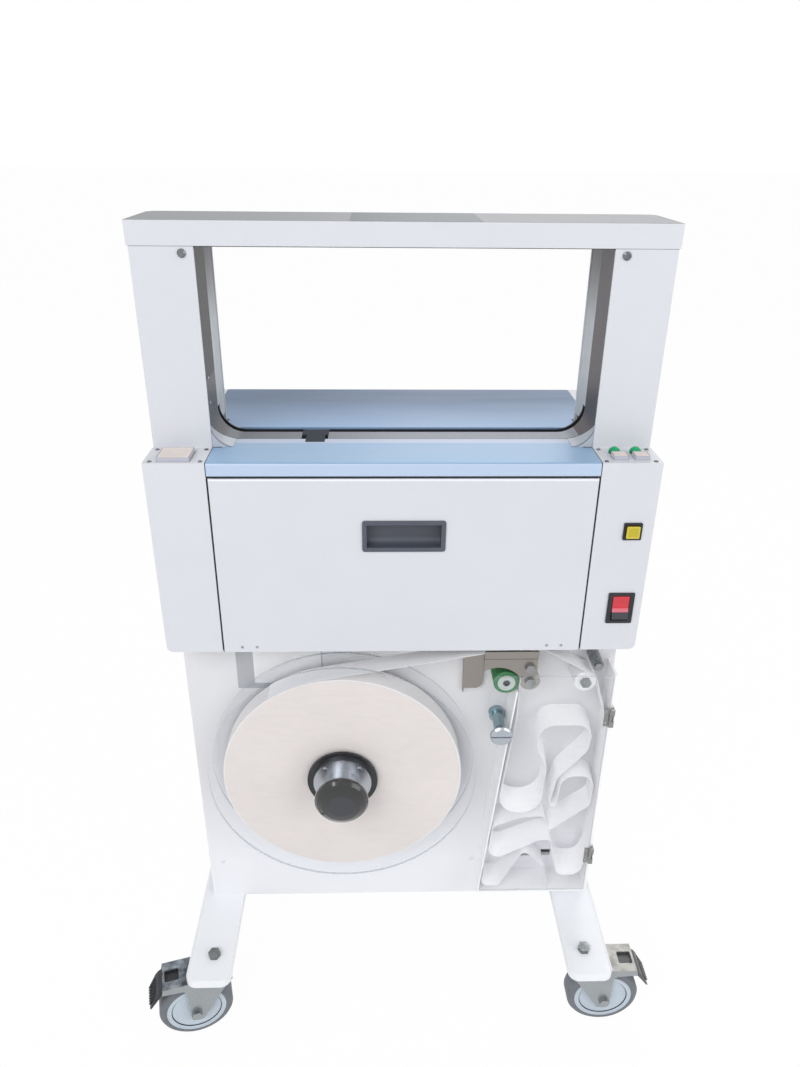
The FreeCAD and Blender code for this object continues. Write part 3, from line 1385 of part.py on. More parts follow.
def build_switches():
    """The START key, the two square keys, the push button, the rocker and the two lamps."""
    start_y = front_y + size.start_setback
    key_y = front_y + size.key_setback
    start_case, start_cap = key_parts("start", -start_x, start_y, size.start_width, size.start_length)
    left_case, left_cap = key_parts("inner_key", key_places[0], key_y, size.key_width, size.key_width)
    right_case, right_cap = key_parts("outer_key", key_places[1], key_y, size.key_width, size.key_width)
    node("start_button", start_cap)
    node("left_key", left_cap)
    node("right_key", right_cap)

    lamps = []
    for x in lamp_places:
        radius = size.lamp_radius
        stem = size.table_height - 14
        lamps.append(turned("lamp", [
            (0, 0), (radius - 1.6, 0), (radius - 1.6, 14), (radius, 14), (radius, 16), (radius * 0.85, 18.5),
            (radius * 0.5, 20.5), (0, 21),
        ], "z", (x, front_y + size.lamp_setback), stem))
    node("signal_lamps", group("signal_lamps", *lamps))

    button = (button_x, size.button_height)
    rocker = (rocker_x, size.rocker_height)
    pivot_reach = size.rocker_width / 2 + size.rocker_pin + size.gap
    pivot_hole = rod("rocker_pivot_hole", "x", size.rocker_pin_radius + size.run_clearance,
                     (rocker_pivot_y, size.rocker_height), (rocker_x - pivot_reach, rocker_x + pivot_reach))
    frames = [start_case, left_case, right_case,
              bezel("button", button, size.button_bezel, size.button_bezel,
                    size.button_cap + 1, size.button_cap + 1),
              cut("rocker_case", bezel("rocker", rocker, size.rocker_bezel_width, size.rocker_bezel_height,
                                       size.rocker_width + 1, size.rocker_length + 4), pivot_hole)]
    node("switch_frames", group("switch_frames", *frames))

    half = size.button_cap / 2
    cap_front = front_y - size.bezel_rise - 2.5
    node("yellow_button", block("yellow_button", "y", (button_x - half, button_x + half),
                                (size.button_height - half, size.button_height + half),
                                (cap_front, front_y + size.switch_depth - size.switch_wall - size.key_travel - 1), 1.5))
    build_rocker(rocker)


def bezel(name, centre, width, height, hole_width, hole_height):
    """A switch case with a bezel on the pod's front."""
    x, z = centre
    rim = block(f"{name}_rim", "y", (x - width / 2, x + width / 2), (z - height / 2, z + height / 2),
                (front_y - size.bezel_rise, front_y), 1.5)
    case = box(f"{name}_body", (x - width / 2 + 1.6, x + width / 2 - 1.6), (front_y - 1, front_y + size.switch_depth),
               (z - height / 2 + 1.6, z + height / 2 - 1.6))
    hole = box(f"{name}_hole", (x - hole_width / 2, x + hole_width / 2),
               (front_y - size.bezel_rise - 1, front_y + size.switch_depth - size.switch_wall),
               (z - hole_height / 2, z + hole_height / 2))
    return cut(f"{name}_frame", fuse(f"{name}_solid", rim, case), hole)


def build_rocker(centre):
    """A rocker with a shallow V front, tipped to its upper side."""
    half = size.rocker_length / 2
    width = size.rocker_width
    front = size.rocker_depth
    body = padded("rocker_body", "x", [
        (0.5 - front, 0), (-front - 1.5, half), (2 - front, half + 0.3), (0, half - 3), (8, half - 8),
        (8, 8 - half), (0, 3 - half), (2 - front, -half - 0.3), (-front - 1.5, -half),
    ], (-width / 2, width / 2))
    rotation = Rotation(Vector(1, 0, 0), -DIMENSIONS["rocker_tilt"])
    reach = width / 2 + size.rocker_pin
    pin = rod("rocker_pin", "x", size.rocker_pin_radius, (0, 0), (-reach, reach))
    wrapped = group("power_rocker", fuse("rocker_solid", body, pin))
    node("power_rocker", place(wrapped, centre[0], rocker_pivot_y, centre[1], rotation))


# ---------------------------------------------------------------- drive

def gear_face(teeth, module, backlash, phase):
    """The face of a spur gear with involute flanks and a 20 degree pressure angle."""
    pressure = math.radians(20)
    pitch = module * teeth / 2
    base = pitch * math.cos(pressure)
    tip = pitch + module
    root = pitch - 1.25 * module
    half_tooth = math.pi / (2 * teeth) - backlash / (4 * pitch)
    half_base = half_tooth + math.tan(pressure) - pressure
    start = max(base, root)
    flank = []
    for step in range(4):
        radius = start + (tip - start) * step / 3
        roll = math.acos(min(1.0, base / radius))
        flank.append((radius, half_base - (math.tan(roll) - roll)))
    points = []
    for tooth in range(teeth):
        middle = phase + tooth * 2 * math.pi / teeth
        rising = [(root, -flank[0][1])] + [(radius, -angle) for radius, angle in flank]
        falling = [(radius, -angle) for radius, angle in reversed(rising)]
        for radius, angle in rising + falling:
            points.append(Vector(radius * math.cos(middle + angle), 0, radius * math.sin(middle + angle)))
    return Part.Face(Part.makePolygon(points + points[:1]))


def gear_solid(name, teeth, phase, x, extras):
    """A spur gear with its hub and shaft, turned about Y."""
    face = gear_face(int(teeth.value), size.gear_module.value, size.gear_backlash.value, phase)
    solid = face.extrude(Vector(0, size.gear_face.value, 0))
    for radius, start, length, offset in extras:
        solid = solid.fuse(Part.makeCylinder(radius, length, Vector(offset, start, 0), Vector(0, 1, 0)))
    feature = doc.addObject("Part::Feature", name)
    feature.Shape = solid.removeSplitter()
    gear_y = plate_front - size.gear_setback - size.gear_face
    return node(name, place(feature, x, gear_y, gear_height))


def build_drive():
    """The cam gear, its pinion, and the motors behind the main plate."""
    shaft = size.drive_shaft_radius.value
    width = size.gear_face.value
    through = size.gear_setback.value + size.plate_thickness.value
    gear_solid("cam_gear", size.gear_teeth, 0, size.gear_x,
               [(shaft, width, through + 30, 0), (12, width, size.gear_setback.value - 1, 0), (20, -6, 6, 6),
                (shaft, -10, 10, 0)])
    gear_solid("motor_pinion", size.pinion_teeth, math.pi / int(size.pinion_teeth.value), pinion_x(),
               [(shaft, width, through + 8, 0), (shaft, -3, 3, 0)])

    motors = []
    for x, z in ((pinion_x(), gear_height), (size.feed_x, roller_height)):
        radius = size.motor_radius
        motors.append(turned("gear_motor", [
            (size.drive_shaft_radius + size.run_clearance, 0), (radius, 0), (radius, 14), (radius - 3, 14),
            (radius - 3, size.motor_length - 4), (radius - 7, size.motor_length), (0, size.motor_length), (0, 10),
            (size.drive_shaft_radius + size.run_clearance, 10),
        ], "y", (x, z), plate_back))
    node("gear_motors", group("gear_motors", *motors))

    low, high = size.board_bottom, size.board_bottom + size.board_height
    left, right = size.board_left, size.board_left + size.board_width
    board_back = plate_front - 8
    card = box("board_card", (left, right), (board_back - 1.6, board_back), (low, high))
    stands = [rod("board_stand", "y", 3.5, (x, z), (board_back, plate_front))
              for x in (left + 6, right - 6) for z in (low + 6, high - 6)]
    parts = [box("transformer", (left + 14, left + 50), (board_back - 19, board_back - 1), (low + 66, low + 100)),
             box("heat_sink", (left + 60, left + 68), (board_back - 17, board_back - 1), (low + 20, low + 70)),
             box("terminals", (left + 20, right - 20), (board_back - 11, board_back - 1), (high - 12, high - 4))]
    parts += [rod("capacitor", "y", 7, (left + 84 + step * 18, low + 84), (board_back - 17, board_back - 1))
              for step in (0, 1)]
    parts += [box("relay", (left + 80 + step * 16, left + 92 + step * 16), (board_back - 13, board_back - 1),
                  (low + 30, low + 56)) for step in (0, 1)]
    node("control_board", fuse("control_board", card, *stands, *parts))


# ---------------------------------------------------------------- build, check and write

build_feet()
build_caster_bolts()
build_main_plate()
build_pedestal()
build_casters()
build_reel()
build_rollers()
build_roller_axles()
build_roller_bracket()
build_tape_box()
build_door()
build_tape()
build_covers()
build_tables()
build_arch_lining()
build_sealing_head()
build_screws()
build_panel()
build_switches()
build_drive()
doc.recompute()

for obj in doc.Objects:
    if "Invalid" in obj.State or "Error" in obj.State:
        raise RuntimeError(f"{obj.Label} did not recompute: {obj.State}")
for obj in NODES:
    if obj.Shape.isNull() or not obj.Shape.isValid() or not obj.Shape.Solids:
        raise RuntimeError(f"{obj.Label} has no valid solid")

os.makedirs("parts", exist_ok=True)
for obj in NODES:
    obj.Shape.exportStep(os.path.join("parts", f"{obj.Label}.step"))
print(len(NODES), "sub-parts written")
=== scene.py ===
"""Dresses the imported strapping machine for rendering.

Lengths are written in millimetres and turned into metres by MM. X points right, Y to the back and Z up,
so what is named ACROSS runs along X, DEPTHS along Y and HEIGHTS along Z.
"""
import json
import math

import bmesh
import bpy
from mathutils import Matrix, Vector


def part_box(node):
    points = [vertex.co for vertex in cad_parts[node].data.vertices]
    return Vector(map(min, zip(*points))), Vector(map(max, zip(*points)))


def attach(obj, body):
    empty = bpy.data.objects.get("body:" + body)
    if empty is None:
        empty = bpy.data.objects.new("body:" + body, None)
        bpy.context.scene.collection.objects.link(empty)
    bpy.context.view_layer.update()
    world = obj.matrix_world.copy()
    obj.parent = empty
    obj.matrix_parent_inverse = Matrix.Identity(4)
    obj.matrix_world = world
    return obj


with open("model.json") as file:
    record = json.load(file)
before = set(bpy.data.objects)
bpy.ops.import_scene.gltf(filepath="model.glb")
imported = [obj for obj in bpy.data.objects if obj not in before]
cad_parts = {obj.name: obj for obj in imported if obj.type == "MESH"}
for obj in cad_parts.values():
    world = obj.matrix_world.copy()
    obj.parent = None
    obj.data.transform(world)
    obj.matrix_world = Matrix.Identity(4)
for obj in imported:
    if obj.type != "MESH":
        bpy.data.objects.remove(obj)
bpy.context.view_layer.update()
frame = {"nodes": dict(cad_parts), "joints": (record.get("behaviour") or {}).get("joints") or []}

MM = 0.001
X, Y, Z = range(3)
NODES = frame["nodes"]


def span(node):
    """The low and the high corner of a node, in millimetres."""
    return [tuple(round(value / MM, 3) for value in corner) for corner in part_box(node)]


def joint_on(body):
    """The joint that carries a body."""
    return next(joint for joint in frame["joints"] if joint["child"] == body)


# ---------------------------------------------------------------- sizes

# the camera that took the photograph, in the frame of the model
CAMERA_AT = (-28.9, -942.3, 1147.7)
CAMERA_PITCH = -26.01
CAMERA_YAW = -1.70
CAMERA_ROLL = 0.59
CAMERA_LENS = 27.69
SENSOR_HEIGHT = 36.0

# edges and centres that the nodes and the joints give
PLATE_FRONT = span("main_plate")[0][Y]
PANEL_LOW, PANEL_HIGH = span("drop_panel")
TABLE_LOW, TABLE_HIGH = span("front_table")
BAND_LOW, BAND_HIGH = span("guide_band")
BEAM_LOW, BEAM_HIGH = span("beam_cover")
LEAF_LOW, LEAF_HIGH = span("door_leaves")
ROLL_LOW, ROLL_HIGH = span("tape_roll")
COLUMN_INSIDE = span("column_right")[0][X]
POD_FOOT, POD_TOP = (corner[Z] for corner in span("pod_right"))
PANEL_FRONT = PANEL_LOW[Y]
REEL_CENTRE = Vector(joint_on("reel")["pos_m"])
FEED_CENTRE = Vector(joint_on("feed")["pos_m"])

# the drop panel: a painted highlight along its rolled top edge, and a thin line of painted shade down its
# sides for the gaps beside it
PANEL_TOP_HIGHLIGHT = PANEL_HIGH[Z] - 2.3
PANEL_SIDE_SHADE_EDGE = PANEL_HIGH[X] - 0.6
PANEL_SIDE_SHADE_BACK = PANEL_FRONT + 1.4

# the tables: the strip without film, the painted highlight along the turned-down lip, the shaded ends, and
# the rear table's painted shade
TABLE_BARE_DEPTHS = (-56, -30)
TABLE_LIP_HIGHLIGHT = TABLE_LOW[Y] + 0.6
TABLE_EDGE = TABLE_HIGH[X] - 0.6
TABLE_SHADE_DEPTHS = (5, 115)

# the arch: the seam under the beam, the beam's top face greyed as painted shade, and a darker rectangle on it
BEAM_SEAM_HEIGHTS = (BEAM_LOW[Z] - 0.5, BEAM_LOW[Z] + 0.4)
BEAM_SHADED_TOP = BEAM_HIGH[Z] - 0.2
BEAM_DARK_PATCH_ACROSS = (-57, 78)
# the flaps darken upwards with painted shade, from the first height by way of the second to the beam
FLAP_SHADE_START = 955
FLAP_SHADE_MIDDLE = 1000

# the guide band: where its tone changes, with painted shade at the upper left and a painted highlight along
# the sill, and the slanted seams across its lower corners, which lie where height and depth add up to
# BAND_SLANT
BAND_RIGHT = 100
BAND_SHADE_UPPER_LEFT = (-100, 904)
BAND_SILL = 836
SILL_HIGHLIGHT_ACROSS = (-190, 0)
BAND_SLANT = 788.0
SLANT_SEAM = 1.6

# the main plate: painted light brightens it downwards, and its lower screws are painted over
PLATE_LIGHT_HEIGHTS = (340, 200)
PAINTED_BELOW = 300

# the control board: the face of its lacquer, and the zones of its raised parts
BOARD_FACE = -87.0
TRACKS_PER_METRE = 240.0
GREY_PARTS_ACROSS = (80, 124)
RELAY_ACROSS = (146, 182)
RELAY_HEIGHTS = (666, 700)
TERMINAL_HEIGHTS = (746, 758)

# switches and lamps
ROCKER_BEND = 644.0
ROCKER_STEP = 4.5
# the lamps: painted shade at their foot, rising to a painted highlight at this height
LAMP_HIGHLIGHT_TOP = POD_TOP + 6

# the reel: the front of the clamp flange, the dished middle of the knob, which carries a painted reflection,
# the roll's outermost turns
CLAMP_FRONT = -122.1
KNOB_REFLECTION_RADIUS = 17
ROLL_OUTER_TURNS = (ROLL_HIGH[Z] - ROLL_LOW[Z]) / 2 - 1.5

# radii on the caster wheels; the groove's ring is painted shade
TYRE_INNER = 40.15
WHEEL_GROOVE_SHADE = (32.9, 34.1)


def srgb(red, green, blue):
    """A linear colour from 0 to 255 display values."""
    return tuple(((c / 255 + 0.055) / 1.055) ** 2.4 if c > 10 else c / 255 / 12.92
                 for c in (red, green, blue))


PAINT = srgb(216, 218, 223)


# ---------------------------------------------------------------- materials

def maths(tree, operation, first, second=0.0):
    """The outcome of a Math node between sockets or numbers."""
    step = tree.nodes.new("ShaderNodeMath")
    step.operation = operation
    for socket, value in zip(step.inputs, (first, second)):
        if isinstance(value, (int, float)):
            socket.default_value = value
        else:
            tree.links.new(value, socket)
    return step.outputs[0]


class Shader:
    """A material with a Principled shader and short calls for the nodes that feed it."""

    def __init__(self, name, roughness, metallic=0.0, **fixed):
        self.material = bpy.data.materials.new(name)
        self.material.use_nodes = True
        self.tree = self.material.node_tree
        self.bsdf = self.tree.nodes["Principled BSDF"]
        self.bsdf.inputs["Roughness"].default_value = roughness
        self.bsdf.inputs["Metallic"].default_value = metallic
        for socket, value in fixed.items():
            self.bsdf.inputs[socket.replace("_", " ")].default_value = value
        self.coordinates = self.tree.nodes.new("ShaderNodeTexCoord")

    def link(self, source, target):
        self.tree.links.new(source, target)

    def math(self, operation, first, second=0.0):
        return maths(self.tree, operation, first, second)

    def both(self, first, second):
        """1 where two masks are both 1."""
        return self.math("MULTIPLY", first, second)

    def either(self, first, second):
        """1 where one of two masks is 1."""
        return self.math("MAXIMUM", first, second)

    # -- places

    def component(self, output, axis):
        """One component of a texture coordinate."""
        split = self.tree.nodes.new("ShaderNodeSeparateXYZ")
        self.link(self.coordinates.outputs[output], split.inputs[0])
        return split.outputs[axis]

    def place(self, axis):
        """One object coordinate, in metres."""
        return self.component("Object", axis)

    def facing(self, axis):
        """How far the surface faces along an axis of the object, from -1 to 1."""
        return self.component("Normal", axis)

    def past(self, axis, start):
        """1 where an object coordinate is over a length in millimetres."""
        return self.math("GREATER_THAN", self.place(axis), start * MM)

    def before(self, axis, end):
        """1 where an object coordinate is under a length in millimetres."""
        return self.math("LESS_THAN", self.place(axis), end * MM)

    def between(self, axis, low, high):
        """1 where an object coordinate lies between two lengths in millimetres."""
        return self.both(self.past(axis, low), self.before(axis, high))

    def ramp(self, axis, start, end):
        """0 to 1 along an object coordinate, from one length in millimetres to another."""
        return self.spread(self.place(axis), 0.0, 1.0, start * MM, end * MM)

    def rim(self):
        """1 on the narrow edges of a sheet that faces front, 0 on its two faces."""
        return self.math("LESS_THAN", self.math("ABSOLUTE", self.facing("Y")), 0.5)

    def vector_step(self, operation, first, second=(0, 0, 0)):
        """A Vector Math node between a socket and a fixed vector."""
        step = self.tree.nodes.new("ShaderNodeVectorMath")
        step.operation = operation
        self.link(first, step.inputs[0])
        step.inputs[1].default_value = second
        return step.outputs

    def radius(self, centre, axis):
        """The distance from a line through a point along an axis, in metres."""
        offset = self.vector_step("SUBTRACT", self.coordinates.outputs["Object"], centre)
        crossed = self.vector_step("CROSS_PRODUCT", offset[0], Vector(axis).normalized())
        return self.vector_step("LENGTH", crossed[0])["Value"]

    # -- textures and tones

    def stretched(self, scale):
        """Object coordinates, stretched along chosen axes."""
        mapping = self.tree.nodes.new("ShaderNodeMapping")
        mapping.inputs["Scale"].default_value = scale
        self.link(self.coordinates.outputs["Object"], mapping.inputs["Vector"])
        return mapping.outputs["Vector"]

    def noise(self, scale, detail=3.0, vector=None, rough=0.55):
        texture = self.tree.nodes.new("ShaderNodeTexNoise")
        texture.inputs["Scale"].default_value = scale
        texture.inputs["Detail"].default_value = detail
        texture.inputs["Roughness"].default_value = rough
        self.link(vector or self.coordinates.outputs["Object"], texture.inputs["Vector"])
        return texture.outputs["Fac"]

    def rings(self, radius, scale, detail=2.0):
        """Noise that changes with a radius alone, as turned or wound work does."""
        texture = self.tree.nodes.new("ShaderNodeTexNoise")
        texture.noise_dimensions = "1D"
        texture.inputs["Scale"].default_value = scale
        texture.inputs["Detail"].default_value = detail
        self.link(radius, texture.inputs["W"])
        return texture.outputs["Fac"]

    def spread(self, value, low, high, start=0.35, end=0.65):
        """A value that runs from start to end, mapped to a range from low to high."""
        mapped = self.tree.nodes.new("ShaderNodeMapRange")
        self.link(value, mapped.inputs["Value"])
        for socket, number in zip(("From Min", "From Max", "To Min", "To Max"), (start, end, low, high)):
            mapped.inputs[socket].default_value = number
        return mapped.outputs[0]

    def mix(self, factor, first, second):
        """A colour between two colours."""
        blend = self.tree.nodes.new("ShaderNodeMix")
        blend.data_type = "RGBA"
        self.link(factor, blend.inputs["Factor"])
        for socket, colour in zip((blend.inputs[6], blend.inputs[7]), (first, second)):
            if isinstance(colour, tuple):
                socket.default_value = (*colour, 1.0)
            else:
                self.link(colour, socket)
        return blend.outputs[2]

    def vary(self, colour, amount, scale):
        """A colour with slow, faint variation."""
        darker = tuple(channel * (1 - amount) for channel in colour)
        lighter = tuple(min(1.0, channel * (1 + amount)) for channel in colour)
        return self.mix(self.spread(self.noise(scale), 0.0, 1.0), darker, lighter)

    def coat(self, colour):
        """The slow drift of tone in sprayed paint."""
        return self.vary(colour, 0.015, 5.0)

    # -- ends

    def colour(self, value):
        self.link(value, self.bsdf.inputs["Base Color"])

    def roughen(self, value, low, high):
        self.link(self.spread(value, low, high), self.bsdf.inputs["Roughness"])

    def bump(self, height, strength, distance):
        """The finished material, with a relief that is a distance in millimetres high."""
        bump = self.tree.nodes.new("ShaderNodeBump")
        bump.inputs["Strength"].default_value = strength
        bump.inputs["Distance"].default_value = distance * MM
        self.link(height, bump.inputs["Height"])
        self.link(bump.outputs["Normal"], self.bsdf.inputs["Normal"])
        return self.material

    def grain(self, scale, strength, distance, detail=2.0):
        """The finished material, with a fine even texture."""
        return self.bump(self.noise(scale, detail), strength, distance)

    def sprayed(self, tone, roughness=None):
        """The finished material as baked paint: faint orange peel and, on request, an uneven shine."""
        self.colour(tone)
        if roughness:
            self.roughen(self.noise(30.0), roughness - 0.05, roughness + 0.06)
        return self.grain(900.0, 0.12, 0.05)


def powder_coat(name, colour, roughness=0.42):
    """Sprayed and baked paint."""
    shader = Shader(name, roughness)
    return shader.sprayed(shader.coat(colour), roughness)


def plate_paint(roughness=0.36):
    """The main plate's paint, with painted light that makes it a little brighter towards its foot."""
    shader = Shader("plate_paint", roughness)
    foot = shader.ramp("Z", *PLATE_LIGHT_HEIGHTS)
    return shader.sprayed(shader.mix(foot, shader.coat(srgb(226, 226, 228)), srgb(241, 242, 246)), roughness)


def panel_paint(roughness=0.42):
    """The drop panel's paint: a painted highlight along its rolled top edge and a thin line of painted shade
    down both front edges.
    """
    shader = Shader("panel_powder", roughness)
    tone = shader.mix(shader.past("Z", PANEL_TOP_HIGHLIGHT), shader.coat(PAINT), srgb(240, 242, 247))
    plain = shader.either(shader.between("X", -PANEL_SIDE_SHADE_EDGE, PANEL_SIDE_SHADE_EDGE), shader.past("Y", PANEL_SIDE_SHADE_BACK))
    return shader.sprayed(shader.mix(plain, srgb(40, 42, 48), tone), roughness)


def arch_paint():
    """The columns' paint, dark in the seam under the beam."""
    shader = Shader("arch_paint", 0.42)
    seam = shader.between("Z", *BEAM_SEAM_HEIGHTS)
    return shader.sprayed(shader.mix(seam, shader.coat(PAINT), srgb(96, 98, 104)))


def beam_paint():
    """The beam's paint, with painted shade greying its top face and a darker rectangle across the top."""
    shader = Shader("beam_paint", 0.45)
    top_shade = shader.mix(shader.between("X", *BEAM_DARK_PATCH_ACROSS), srgb(124, 126, 131), srgb(78, 85, 91))
    return shader.sprayed(shader.mix(shader.past("Z", BEAM_SHADED_TOP), shader.coat(PAINT), top_shade))


def lining_steel():
    """The guide band: painted shade darkest at the upper left, dull on the right, and a painted highlight
    along its sill.

    Below the slanted seams across its lower corners it is pale.
    """
    shader = Shader("lining_steel", 0.5, 0.2, Specular_IOR_Level=0.25)
    lines = shader.noise(120.0, 4.0, shader.stretched((40, 1, 40)), 0.7)
    steel = shader.mix(shader.past("X", BAND_RIGHT), srgb(102, 102, 105), srgb(90, 84, 87))
    left, foot = BAND_SHADE_UPPER_LEFT
    # painted shade over the band's upper left
    upper_left_shade = shader.both(shader.past("Z", foot), shader.before("X", left))
    steel = shader.mix(upper_left_shade, steel, srgb(56, 56, 59))
    # a painted highlight along the band's sill
    sill_highlight = shader.mix(shader.ramp("X", *SILL_HIGHLIGHT_ACROSS), srgb(104, 109, 116), srgb(146, 149, 159))
    steel = shader.mix(shader.before("Z", BAND_SILL), steel, sill_highlight)
    slant = shader.math("ADD", shader.place("Z"), shader.place("Y"))
    for end, tone in ((BAND_SLANT + SLANT_SEAM, srgb(52, 53, 57)), (BAND_SLANT, srgb(184, 190, 198))):
        steel = shader.mix(shader.math("LESS_THAN", slant, end * MM), steel, tone)
    shader.colour(shader.mix(shader.spread(lines, 0.0, 0.12), steel, (0.02, 0.02, 0.02)))
    shader.roughen(lines, 0.34, 0.5)
    return shader.bump(lines, 0.08, 0.03)


def flap_moulding():
    """The flaps behind the guide band: pale below, with painted shade darkening them under the beam."""
    shader = Shader("flap_plastic", 0.45, Specular_IOR_Level=0.3)
    tone = shader.mix(shader.ramp("Z", FLAP_SHADE_START, FLAP_SHADE_MIDDLE), srgb(208, 212, 214), srgb(156, 155, 156))
    tone = shader.mix(shader.ramp("Z", FLAP_SHADE_MIDDLE, BEAM_LOW[Z]), tone, srgb(108, 104, 106))
    shader.colour(shader.mix(shader.spread(shader.noise(60.0), 0.0, 0.12), tone, srgb(120, 122, 126)))
    return shader.grain(700.0, 0.1, 0.05)


def brushed(name, colour, roughness=0.32, grain=(1, 40, 40)):
    """Ground sheet or bar: fine lines along one axis."""
    shader = Shader(name, roughness, 1.0)
    lines = shader.noise(120.0, 4.0, shader.stretched(grain), 0.7)
    shader.colour(shader.mix(shader.spread(lines, 0.0, 1.0), tuple(c * 0.9 for c in colour), colour))
    shader.roughen(lines, roughness - 0.06, roughness + 0.1)
    return shader.bump(lines, 0.08, 0.03)


def zinc(name, colour, roughness=0.38, contrast=0.07):
    """Plated steel: small spangles and a dull shine."""
    shader = Shader(name, roughness, 0.85)
    spangle = shader.noise(260.0, 3.0)
    shader.colour(shader.vary(colour, contrast, 60.0))
    shader.roughen(spangle, roughness - 0.1, roughness + 0.1)
    return shader.bump(spangle, 0.05, 0.04)


def screw_zinc(metallic=0.85):
    """Cover screws: mottled plating above, painted over on the lower part of the plate."""
    shader = Shader("screw_chrome", 0.22, metallic)
    above = shader.past("Z", PAINTED_BELOW)
    spangle = shader.noise(260.0, 3.0)
    shader.colour(shader.mix(above, srgb(226, 228, 232), shader.vary(srgb(128, 130, 134), 0.35, 60.0)))
    shader.link(shader.math("MULTIPLY", above, metallic), shader.bsdf.inputs["Metallic"])
    shader.roughen(spangle, 0.12, 0.32)
    return shader.bump(spangle, 0.06, 0.03)


def fork_zinc(name, low, high):
    """A caster fork: dull sheet, and a painted reflection in two tones where it faces up."""
    shader = Shader(name, 0.3, 0.75)
    reflecting_top = shader.math("GREATER_THAN", shader.facing("Z"), 0.6)
    top = shader.mix(shader.spread(shader.noise(70.0), 0.0, 1.0), low, high)
    shader.colour(shader.mix(reflecting_top, shader.vary(srgb(160, 165, 168), 0.03, 30.0), top))
    shader.roughen(shader.noise(60.0), 0.24, 0.36)
    return shader.grain(260.0, 0.02, 0.03, detail=3.0)


def film(name, colour, rough, edges=False, back=None):
    """Bright steel under a thin blue film: soft streaks and long, faint creases.

    edges turns on the front table's own zones: the strip that the film leaves open, a painted highlight on
    the turned-down lip and the painted shadow along both ends. back is the colour of the painted shade that
    it darkens to behind.
    """
    shader = Shader(name, rough, 0.12, Coat_Weight=0.2, Coat_Roughness=0.25)
    streaks = shader.noise(9.0, 5.0, shader.stretched((0.5, 3.0, 3.0)))
    pale = tuple(min(1.0, c * 1.1) for c in colour)
    tone = shader.mix(shader.spread(streaks, 0.0, 1.0), colour, pale)
    if back:
        tone = shader.mix(shader.ramp("Y", *TABLE_SHADE_DEPTHS), tone, back)
    if edges:
        tone = shader.mix(shader.between("Y", *TABLE_BARE_DEPTHS), tone, srgb(186, 196, 218))
        tone = shader.mix(shader.before("Y", TABLE_LIP_HIGHLIGHT), tone, srgb(188, 206, 230))
        tone = shader.mix(shader.between("X", -TABLE_EDGE, TABLE_EDGE), srgb(70, 82, 100), tone)
    shader.colour(tone)
    shader.roughen(streaks, rough - 0.04, rough + 0.06)
    creases = shader.math("ADD", shader.noise(14.0, 2.0, shader.stretched((0.4, 1.4, 1.0))),
                          shader.math("MULTIPLY", shader.noise(420.0, 2.0), 0.05))
    return shader.bump(creases, 0.05, 0.4)


def moulded(name, colour, roughness, grain=700.0, strength=0.15):
    """Moulded plastic or rubber with a fine texture."""
    shader = Shader(name, roughness)
    shader.colour(shader.vary(colour, 0.05, 25.0))
    shader.roughen(shader.noise(80.0), roughness - 0.06, roughness + 0.08)
    return shader.grain(grain, strength, 0.06)


def circuit_board():
    """The control board: green lacquer with pale tracks, and raised parts in black, grey, white and blue."""
    shader = Shader("circuit_board", 0.35, Specular_IOR_Level=0.4)
    repeat = shader.math("FRACT", shader.math("MULTIPLY", shader.place("X"), TRACKS_PER_METRE))
    patches = shader.math("GREATER_THAN", shader.noise(30.0), 0.52)
    tracks = shader.both(shader.math("LESS_THAN", repeat, 0.22), patches)
    lacquer = shader.mix(tracks, shader.vary(srgb(22, 84, 54), 0.08, 40.0), srgb(58, 128, 86))
    part = shader.mix(shader.between("X", *GREY_PARTS_ACROSS), srgb(36, 38, 42), srgb(150, 152, 156))
    relays = shader.both(shader.between("X", *RELAY_ACROSS), shader.between("Z", *RELAY_HEIGHTS))
    part = shader.mix(relays, part, srgb(226, 226, 220))
    part = shader.mix(shader.between("Z", *TERMINAL_HEIGHTS), part, srgb(48, 84, 142))
    part = shader.mix(shader.spread(shader.noise(120.0), 0.0, 0.15), part, srgb(90, 90, 92))
    shader.colour(shader.mix(shader.before("Y", BOARD_FACE), lacquer, part))
    return shader.grain(250.0, 0.2, 0.06)


def slate_block():
    """The sealing head: dull slate grey."""
    shader = Shader("slate_block", 0.7, Specular_IOR_Level=0.2)
    shader.colour(shader.vary(srgb(46, 52, 62), 0.08, 60.0))
    return shader.grain(400.0, 0.1, 0.05)


def knob_moulding():
    """The reel knob: glossy, with a bluish painted reflection on its dished middle and a blacker rim."""
    shader = Shader("knob_moulding", 0.16, Coat_Weight=0.7, Coat_Roughness=0.05)
    middle = shader.math("LESS_THAN", shader.radius(REEL_CENTRE, (0, 1, 0)), KNOB_REFLECTION_RADIUS * MM)
    shader.colour(shader.mix(middle, shader.vary(srgb(14, 16, 18), 0.1, 60.0), srgb(20, 27, 41)))
    return shader.grain(300.0, 0.04, 0.05)


def acrylic(name, tint, clear=0.035, edge=0.5, edge_tone=0.62):
    """Clear sheet: its faces nearly vanish and its cut edges show."""
    shader = Shader(name, 0.06, Coat_Weight=0.5, Coat_Roughness=0.03)
    rim = shader.rim()
    shader.colour(shader.mix(rim, tint, tuple(c * edge_tone for c in tint)))
    scratches = shader.noise(55.0, 6.0, shader.stretched((1.0, 1.0, 6.0)), 0.7)
    haze = shader.spread(scratches, clear * 0.6, clear * 1.5)
    alpha = shader.math("MAXIMUM", shader.math("MULTIPLY", rim, edge), haze)
    shader.link(alpha, shader.bsdf.inputs["Alpha"])
    return shader.bump(scratches, 0.03, 0.05)


